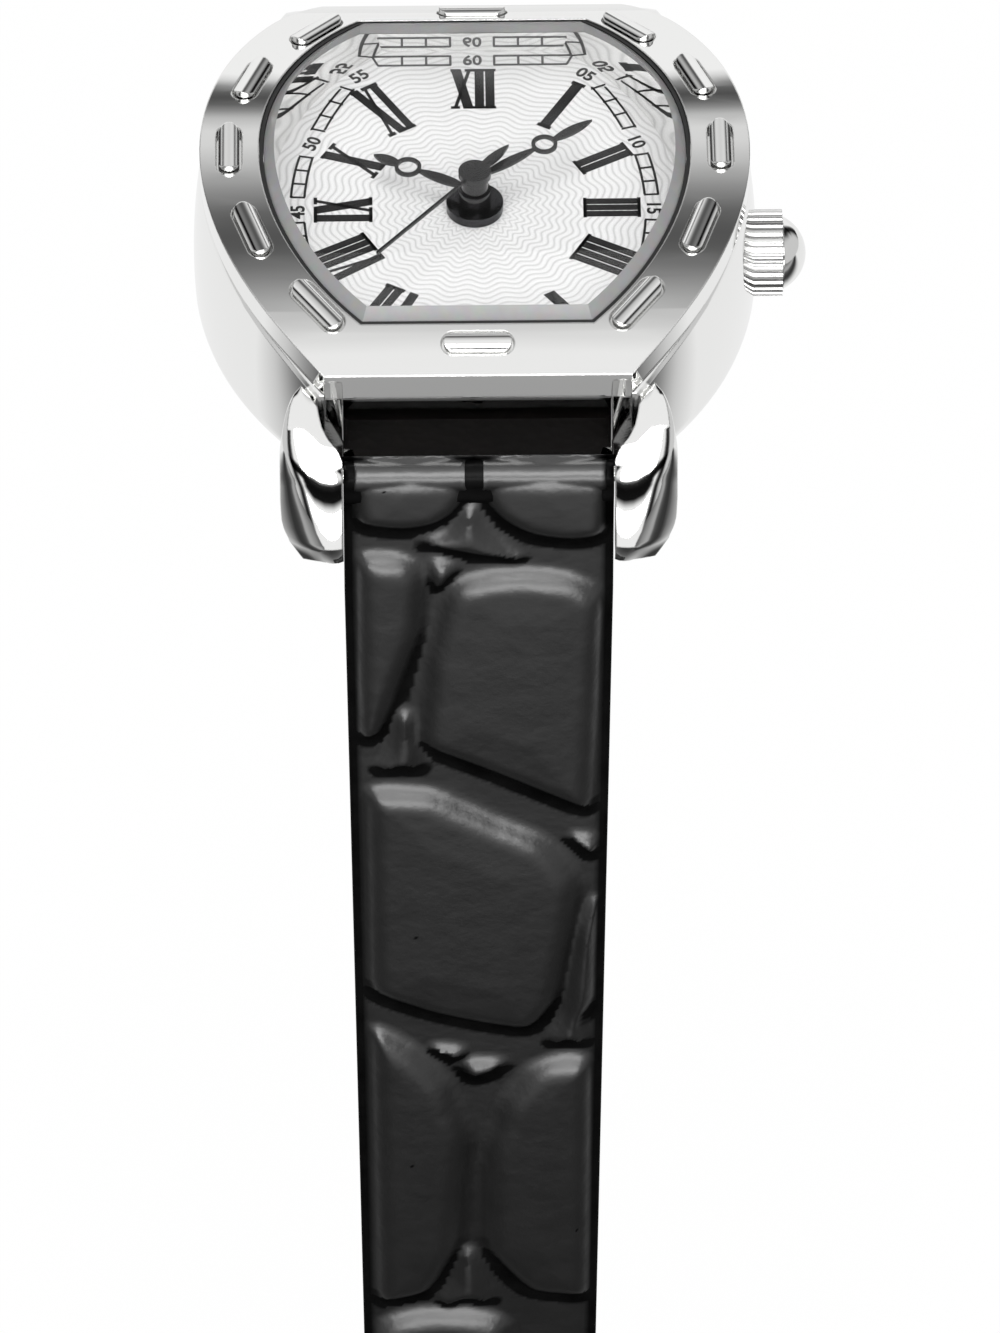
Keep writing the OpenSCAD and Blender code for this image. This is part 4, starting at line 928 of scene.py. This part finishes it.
def strip_inside(kind, value):
    """Place in the side view of the leather's inner face."""
    if kind == "flat":
        # It lies on the lining, and gives way to the bar near the top
        near_bar = min(1, max(0, (value - BAR_Z + 2.4) / 1.2))
        return LINING_FACE_Y - 1.02 * near_bar, value
    y, z = strip_point(kind, value, 1.25)
    a = math.atan2(z - BAR_Z, -BAR_Y - y)
    return -BAR_Y - BAR_WRAP_IN * math.cos(a), BAR_Z + BAR_WRAP_IN * math.sin(a)


def leather_strip(name, material, replaced, body, tip_z, mirrored):
    """The padded outer leather of one half, rolled round its spring bar. The short half is mirrored."""
    shapes = scales_with_limits(mirrored)
    pointed = not mirrored
    round_end = tip_z + STRAP_END_HALF_W
    depth = {}
    rings = []
    for kind, value, pattern_z in strip_stations(tip_z, round_end if pointed else tip_z + 3.1, pointed):
        height = value if kind == "flat" else BAR_Z
        half = strap_half_w(height)
        if pointed and height < round_end:
            half = math.sqrt(max(STRAP_END_HALF_W ** 2 - (round_end - height) ** 2, 0.02))
        points = []
        for i in range(ACROSS + 1):
            # Closer together towards the sides, where the leather turns over
            x = half * math.sin((-1 + 2 * i / ACROSS) * SPREAD) / math.sin(SPREAD)
            rim = max(0, 1 - (half - abs(x)) / SIDE_EDGE_W)
            raised, groove = scale_relief(x, pattern_z, shapes)
            out = FACE_OUT + raised * min(1, (half - abs(x)) / 0.55 + 0.05)
            out -= SIDE_EDGE_DROP * (1 - math.sqrt(1 - rim * rim * 0.98)) / 0.86
            points.append((x, *strip_point(kind, value, out)))
            # Painted shade also darkens the rim, where the leather turns over at the sides
            depth[tuple(round(c, 3) for c in points[-1])] = max(groove, min(1, rim * 2 - 0.6))
        edge_y, edge_z = points[-1][1:]
        inside_y, inside_z = strip_inside(kind, value)
        for x, share in ((half + 0.02, 0.5), (half, 0.1), (half * 0.96, 0), (half * 0.5, 0), (-half * 0.5, 0),
                         (-half * 0.96, 0), (-half, 0.1), (-half - 0.02, 0.5)):
            points.append((x, inside_y + (edge_y - inside_y) * share, inside_z + (edge_z - inside_z) * share))
        rings.append(points)
    bm = bmesh.new()
    loft(bm, rings)
    # The inner face and the thin sides count as groove, so the coat stays off them
    layer = bm.verts.layers.float.new("groove")
    for vert in bm.verts:
        vert[layer] = depth.get(tuple(round(c, 3) for c in vert.co), 1.0)
    if mirrored:
        for side in (1, -1):
            add_end_tab(bm, side)
        swing_short_half(bm)
    return piece(name, bm, [material], 60, body, replaced)


def add_end_tab(bm, side):
    """One of the two ears that carry the short half round the buckle's bar, beside the tongue."""
    half = strap_half_w(SHORT_END_Z)
    # Down the strap's end, round the bar, and up again behind it
    stations = [(0, SHORT_END_Z + 3.3 - k * 0.3) for k in range(11)]
    stations += [(-math.radians(10 * k), SHORT_END_Z) for k in range(1, 19)]
    stations += [(-math.pi, SHORT_END_Z + 0.4 * k) for k in range(1, 5)]
    rings = []
    for turn, z in stations:
        low = 0.58 if z < SHORT_END_Z + 1.2 or turn else -0.3
        section = [(0.95, low), (0.95, 1.0), (1.1, 1.14), (half * 0.5, 1.2), (half - 0.4, 1.14), (half, 0.9),
                   (half, low)]
        ring = []
        for x, out in section:
            ring.append((side * x, -BAR_Y - math.cos(turn) * out, z + math.sin(turn) * out))
        rings.append(ring)
    loft(bm, rings)


def swing_short_half(bm):
    """Brings a shape made as the 6 o'clock half to 12 o'clock, swung out as that half is at rest."""
    bmesh.ops.scale(bm, vec=(1, -1, 1), verts=bm.verts)
    place = Vector((0, BAR_Y, BAR_Z))
    bmesh.ops.rotate(bm, cent=place, matrix=Matrix.Rotation(SHORT_TILT, 3, "X"), verts=bm.verts)


# Rows down the lining
LINING_STEP = 1.5


def lining_strip(name, material, replaced, body, tip_z, mirrored):
    """The thin inner leather, with softly rounded edges."""
    foot = tip_z + (3.2 if mirrored else STRAP_END_HALF_W)
    stations = []
    z = BAR_Z - LINING_STEP
    while z > foot:
        stations.append((z, strap_half_w(z)))
        z -= LINING_STEP
    stations.append((foot, strap_half_w(foot)))
    if not mirrored:
        for k in range(1, 15):
            drop = STRAP_END_HALF_W * math.sin(math.pi / 2 * k / 14.3)
            stations.append((foot - drop, math.sqrt(STRAP_END_HALF_W ** 2 - drop ** 2)))
    rings = []
    for z, half in stations:
        half -= 0.05
        ring = [(x * (half - 0.25), LINING_BACK_Y) for x in (-1, -0.33, 0.33, 1)]
        ring += [(half, LINING_BACK_Y - 0.2), (half, LINING_FACE_Y + 0.02)]
        ring += [(x * half, LINING_FACE_Y) for x in (0.9, 0.3, -0.3, -0.9)]
        ring += [(-half, LINING_FACE_Y + 0.02), (-half, LINING_BACK_Y - 0.2)]
        rings.append([(x, y, z) for x, y in ring])
    bm = bmesh.new()
    loft(bm, rings)
    if mirrored:
        swing_short_half(bm)
    return piece(name, bm, [material], 50, body, replaced)


# A keeper's inner faces stand this far from the case's middle, round both halves of the strap
KEEPER_IN_Y = 15.5
KEEPER_OUT_Y = 20.2
KEEPER_W = 4.5
KEEPER_CORNER_R = 0.1
# Across a keeper's wall: how far out of its inner face, and how far up
KEEPER_SECTION = [(0.12, 0.1), (0.12, 4.4), (0.3, KEEPER_W), (0.7, KEEPER_W), (1.0, 4.3), (1.08, 3.9),
                  (1.1, 2.25), (1.08, 0.6), (1.0, 0.2), (0.7, 0), (0.3, 0)]


def keeper_loop(name, material, replaced, body, low_z, inner_w):
    """A flat loop of patent leather with rolled edges."""
    side = inner_w / 2 - KEEPER_CORNER_R
    low = KEEPER_IN_Y + KEEPER_CORNER_R
    high = KEEPER_OUT_Y - KEEPER_CORNER_R
    rings = []
    for x, y, start in ((side, high, 0), (-side, high, 90), (-side, low, 180), (side, low, 270)):
        for k in range(7):
            a = math.radians(start + 15 * k)
            ring = []
            for out, up in KEEPER_SECTION:
                ring.append((x + math.cos(a) * out, -y - math.sin(a) * out, low_z + up))
            rings.append(ring)
    bm = bmesh.new()
    loft(bm, rings + rings[:1], caps=False)
    bmesh.ops.remove_doubles(bm, verts=bm.verts, dist=0.001)
    swing_short_half(bm)
    return piece(name, bm, [material], 50, body, replaced)


# The tongue's holes, counted up from the strap's tip
HOLES = 5
HOLE_R = 0.8
HOLE_GAP = 5.5
HOLE_CUT_L = 8
FIRST_HOLE_UP = 14


def punch_holes(strap):
    """Round holes for the buckle's tongue, cut through a finished strip."""
    bm = bmesh.new()
    for k in range(HOLES):
        add_cylinder(bm, HOLE_R, HOLE_CUT_L, (0, -BAR_Y, STRAP_TIP_Z + FIRST_HOLE_UP + HOLE_GAP * k), "X", 32)
    cut_out(strap, bm)


# Stage: camera, light, floor

CAMERA_ELEVATION = math.radians(44)
CAMERA_TURN = math.radians(0.75)
CAMERA_DISTANCE = 660
CAMERA_AIM = Vector((1.09, -16.46, -10.75))
# The tent: degrees above the horizon at 12 o'clock, then over the top to 6 o'clock, each with a grey level.
# Dark flags hang at about 30 and 57 degrees, and the darkest at about 154, over 6 o'clock.
TENT = [(-180, 250), (-2, 250), (26, 253), (28.5, 120), (30.5, 75), (33, 110), (35.5, 205), (38, 228),
        (41, 224), (45, 196), (49, 155), (53, 110), (57, 88), (60, 92), (63, 122), (67, 165), (71, 200),
        (80, 218), (88, 236), (95, 248), (146, 250), (148.5, 40), (152, 12), (158, 20), (161.5, 250),
        (180, 250)]
# Dark flags at both sides, by how far a direction points sideways
SIDE_FLAGS = [(0.55, "#ffffff"), (0.61, "#707070"), (0.65, "#262626"), (0.72, "#262626"), (0.79, "#a0a0a0"),
              (0.88, "#e0e0e0")]
# Painted shade that the floor shows only in reflections, by y in millimetres
REFLECTED_SHADE_TONES = [(-450, "#707070"), (-250, "#909090"), (-150, "#a8a8a8"), (-120, "#9c9c9c"), (-108, "#747474"),
        (-92, "#4c4c4c"), (-75, "#343434"), (-60, "#1e1e1e"), (-38, "#161616"), (-24, "#4a4a4a"),
        (-10, "#8c8c8c"), (10, "#d0d0d0"), (35, "#f4f4f4")]
FLOOR_Z = -101.2
FLOOR_R = 900


def set_camera():
    """A long lens from 6 o'clock, 44 degrees above the dial, a touch to the left."""
    ahead = Vector((math.sin(CAMERA_TURN) * math.cos(CAMERA_ELEVATION),
                    math.cos(CAMERA_TURN) * math.cos(CAMERA_ELEVATION), -math.sin(CAMERA_ELEVATION)))
    data = bpy.data.cameras.new("camera")
    data.lens = 344
    data.sensor_width = 36
    data.clip_start = 0.05
    camera = bpy.data.objects.new("camera", data)
    bpy.context.scene.collection.objects.link(camera)
    camera.location = (CAMERA_AIM - ahead * CAMERA_DISTANCE) * MM
    camera.rotation_euler = ahead.to_track_quat("-Z", "Y").to_euler()
    bpy.context.scene.camera = camera


def set_world():
    """A light tent: long white panels and dark flags that run from left to right over the watch."""
    world = bpy.data.worlds.new("light_tent")
    bpy.context.scene.world = world
    world.use_nodes = True
    tree = world.node_tree
    way = add(tree, "SeparateXYZ", Vector=add(tree, "TexCoord").outputs["Generated"]).outputs
    angle = add(tree, "Math", {"operation": "ARCTAN2"}, i0=way["Z"], i1=way["Y"])
    place = add(tree, "Math", {"operation": "MULTIPLY_ADD", 1: 1 / (2 * math.pi), 2: 0.5}, i0=angle)
    greys = [((degrees + 180) / 360, "#" + "%02x" % level * 3) for degrees, level in TENT]
    tent = add(tree, "ValToRGB", {"stops": greys}, Fac=place)
    aside = add(tree, "Math", {"operation": "ABSOLUTE"}, i0=way["X"])
    flags = add(tree, "ValToRGB", {"stops": SIDE_FLAGS}, Fac=aside)
    flagged = add(tree, "Mix", {"data_type": "RGBA", "blend_type": "MULTIPLY", 0: 1.0}, i6=tent, i7=flags)
    # The tent's two ends are plain paper, so that the panels don't run to a point there
    fade = {"interpolation_type": "SMOOTHSTEP", "From Min": 0.74, "From Max": 0.9}
    ends = add(tree, "MapRange", fade, Value=aside)
    closed = add(tree, "Mix", {"data_type": "RGBA", 7: srgb("#d2d2d2")}, i0=ends, i6=flagged.outputs[2])
    light = tree.nodes["Background"]
    tree.links.new(closed.outputs[2], light.inputs["Color"])
    clear = add(tree, "Background", {"Color": (1, 1, 1, 1)})
    rays = add(tree, "LightPath")
    mix = add(tree, "MixShader", i0=rays.outputs["Is Camera Ray"], i1=light, i2=clear)
    tree.links.new(mix.outputs[0], tree.nodes["World Output"].inputs["Surface"])


def add_softbox(name, place, aim, size, power, mirrored=True):
    """An area lamp; one that isn't mirrored lights the colours and leaves the steel's pattern alone."""
    data = bpy.data.lights.new(name, "AREA")
    data.shape = "RECTANGLE"
    data.size = size[0] * MM
    data.size_y = size[1] * MM
    data.energy = power
    lamp = bpy.data.objects.new(name, data)
    bpy.context.scene.collection.objects.link(lamp)
    lamp.location = Vector(place) * MM
    lamp.visible_glossy = mirrored
    lamp.rotation_euler = (Vector(aim) - Vector(place)).to_track_quat("-Z", "Y").to_euler()


def white_paper(name):
    """Paper, pure white to the eye but for a faint shadow, with painted shade that is seen only in its
    reflections.
    """
    material, tree, shader = new_material(name, Base_Color=srgb("#f2f2f2"), Roughness=0.9)
    rays = add(tree, "LightPath").outputs
    axes = add(tree, "SeparateXYZ", Vector=add(tree, "TexCoord").outputs["Object"])
    # The painted shade's tones run from half a metre before the watch to half a metre behind it
    along = add(tree, "Math", {"operation": "ADD", 1: 0.5}, i0=axes.outputs["Y"])
    reflected_shade = add(tree, "ValToRGB", {"stops": [(y * MM + 0.5, tone) for y, tone in REFLECTED_SHADE_TONES]}, Fac=along)
    # Painted shade: reflections of the floor show these tones instead of white
    tone = add(tree, "Mix", {"data_type": "RGBA", 6: (1, 1, 1, 1)}, i0=rays["Is Glossy Ray"], i7=reflected_shade)
    glow = add(tree, "Emission", Color=tone.outputs[2])
    either = {"operation": "MAXIMUM"}
    shown = add(tree, "Math", either, i0=rays["Is Glossy Ray"], i1=rays["Is Transmission Ray"])
    seen = add(tree, "Math", either, i0=rays["Is Camera Ray"], i1=shown)
    # A little of the lit paper stays in what is seen, with the watch's shadow
    share = add(tree, "Math", {"operation": "MULTIPLY", 1: 0.97}, i0=seen)
    mix = add(tree, "MixShader", i0=share, i1=shader, i2=glow)
    tree.links.new(mix.outputs[0], tree.nodes["Material Output"].inputs["Surface"])
    return material


def make_floor():
    """A round sheet of paper just under the strap's tip."""
    bm = bmesh.new()
    bmesh.ops.create_circle(bm, cap_ends=True, segments=96, radius=FLOOR_R * MM)
    bmesh.ops.translate(bm, vec=(0, 0, FLOOR_Z * MM), verts=bm.verts)
    floor = new_object("floor", bm, [white_paper("white_paper")])


# Finishes for the pieces that come over from the construction

steel = polished_steel("polished_steel", "#efefee", 0.12, 0.035)
mirror = polished_steel("mirror_steel", "#f1f1f0", 0, 0.02)
small_steel = polished_steel("turned_steel", "#dcdcda", 0.03, 0.12)
ribbed = knurled_steel("knurled_steel")
blackened = polished_steel("blackened_steel", "#454547", 0.04, 0.1)
lacquer = black_lacquer("black_lacquer")
dial_face = silvered_dial("silvered_dial")
ink = dial_ink("printing_ink")
patent = patent_leather("patent_leather")
lining = lining_leather("goatskin_lining")
glass = mineral_glass("mineral_glass")
# A ground rim scatters the light that meets it and looks an even grey
ground = plain("ground_glass", "#8d8d8d", 0.3)
# Moulded pieces and the lacquered board are matt
seal = plain("nitrile_rubber", "#1c1c1c", 0.55)
resin = plain("white_acetal", "#e6e4de", 0.45)
board = plain("green_circuit_board", "#1f4a2c", 0.5)
chip = plain("epoxy_chip", "#141414", 0.5)
# Stamped and plated metal has a soft shine, and pressed magnet and lacquered wire less of it
brass = plain("gilt_brass", "#c9a44e", 0.28, 1.0)
plate = plain("nickelled_brass", "#c8c6bf", 0.3, 1.0)
copper = plain("enamelled_copper_wire", "#a8542a", 0.35, 0.8)
magnet = plain("sintered_magnet", "#55565a", 0.5, 0.7)

FINISH = {
    "bezel": steel, "bezel_studs": steel, "crown": ribbed, "crown_cap": steel,
    "case_back": steel, "crystal_gasket": seal, "back_gasket": seal, "crown_gasket": seal,
    "dial": dial_face, "hour_hand": lacquer, "minute_hand": lacquer, "second_hand": lacquer,
    "hub_washer": blackened, "hour_wheel": small_steel, "cannon_pinion": small_steel, "center_wheel": brass,
    "fourth_wheel": small_steel, "third_wheel": brass, "fifth_wheel": brass, "minute_wheel": brass,
    "clutch_wheel": brass, "rotor": magnet, "movement_holder": resin, "main_plate": plate,
    "train_bridge": plate, "battery": small_steel, "battery_strap": brass, "circuit_board": board,
    "ic_chip": chip, "quartz_can": small_steel, "coil_winding": copper, "coil_core": magnet,
    "stator": magnet, "bridge_screws": small_steel, "yoke": small_steel, "setting_lever": small_steel,
    "stem": small_steel, "crown_tube": small_steel, "spring_bar_tubes": small_steel,
    "spring_bar_tips": small_steel, "buckle_bar": steel, "buckle_frame": steel, "buckle_tongue": steel}

for name, finish in FINISH.items():
    nodes[name].data.materials.clear()
    nodes[name].data.materials.append(finish)

make_case(steel)
make_crystal(glass, ground)
make_rehaut(mirror)
make_dial_print(ink)
long_face = leather_strip("strap_long_face", patent, ["strap_long_leather"], "strap_long", STRAP_TIP_Z, False)
long_inner = lining_strip("strap_long_inner", lining, ["strap_long_lining"], "strap_long", STRAP_TIP_Z, False)
punch_holes(long_face)
punch_holes(long_inner)
leather_strip("strap_short_face", patent, ["strap_short_leather"], "strap_short", SHORT_END_Z, True)
lining_strip("strap_short_inner", lining, ["strap_short_lining"], "strap_short", SHORT_END_Z, True)

# The fixed keeper lies 8 mm above the buckle's bar. The loose one lies 4 mm higher and has room to slide.
KEEPER_TRAVEL = 12
KEEPER_SLACK = 0.5
fixed_z = SHORT_END_Z + 8
loose_z = fixed_z + KEEPER_W + 4
keeper_loop("keeper_near_buckle", patent, ["keeper_fixed"], "strap_short", fixed_z,
            2 * strap_half_w(fixed_z + KEEPER_W) + KEEPER_SLACK)
keeper_loop("keeper_sliding", patent, ["keeper_loose"], "keeper_loose", loose_z,
            2 * strap_half_w(loose_z + KEEPER_W + KEEPER_TRAVEL) + KEEPER_SLACK)

set_camera()
set_world()
make_floor()
add_softbox("front_softbox", (0, -330, 330), (0, -15, 0), (400, 220), 1.1)
add_softbox("low_softbox", (0, -420, 70), (0, -17, -20), (520, 100), 0.75)
add_softbox("top_softbox", (0, 60, 450), (0, 0, 0), (380, 380), 1.15, mirrored=False)
bpy.context.scene.view_settings.view_transform = "Standard"
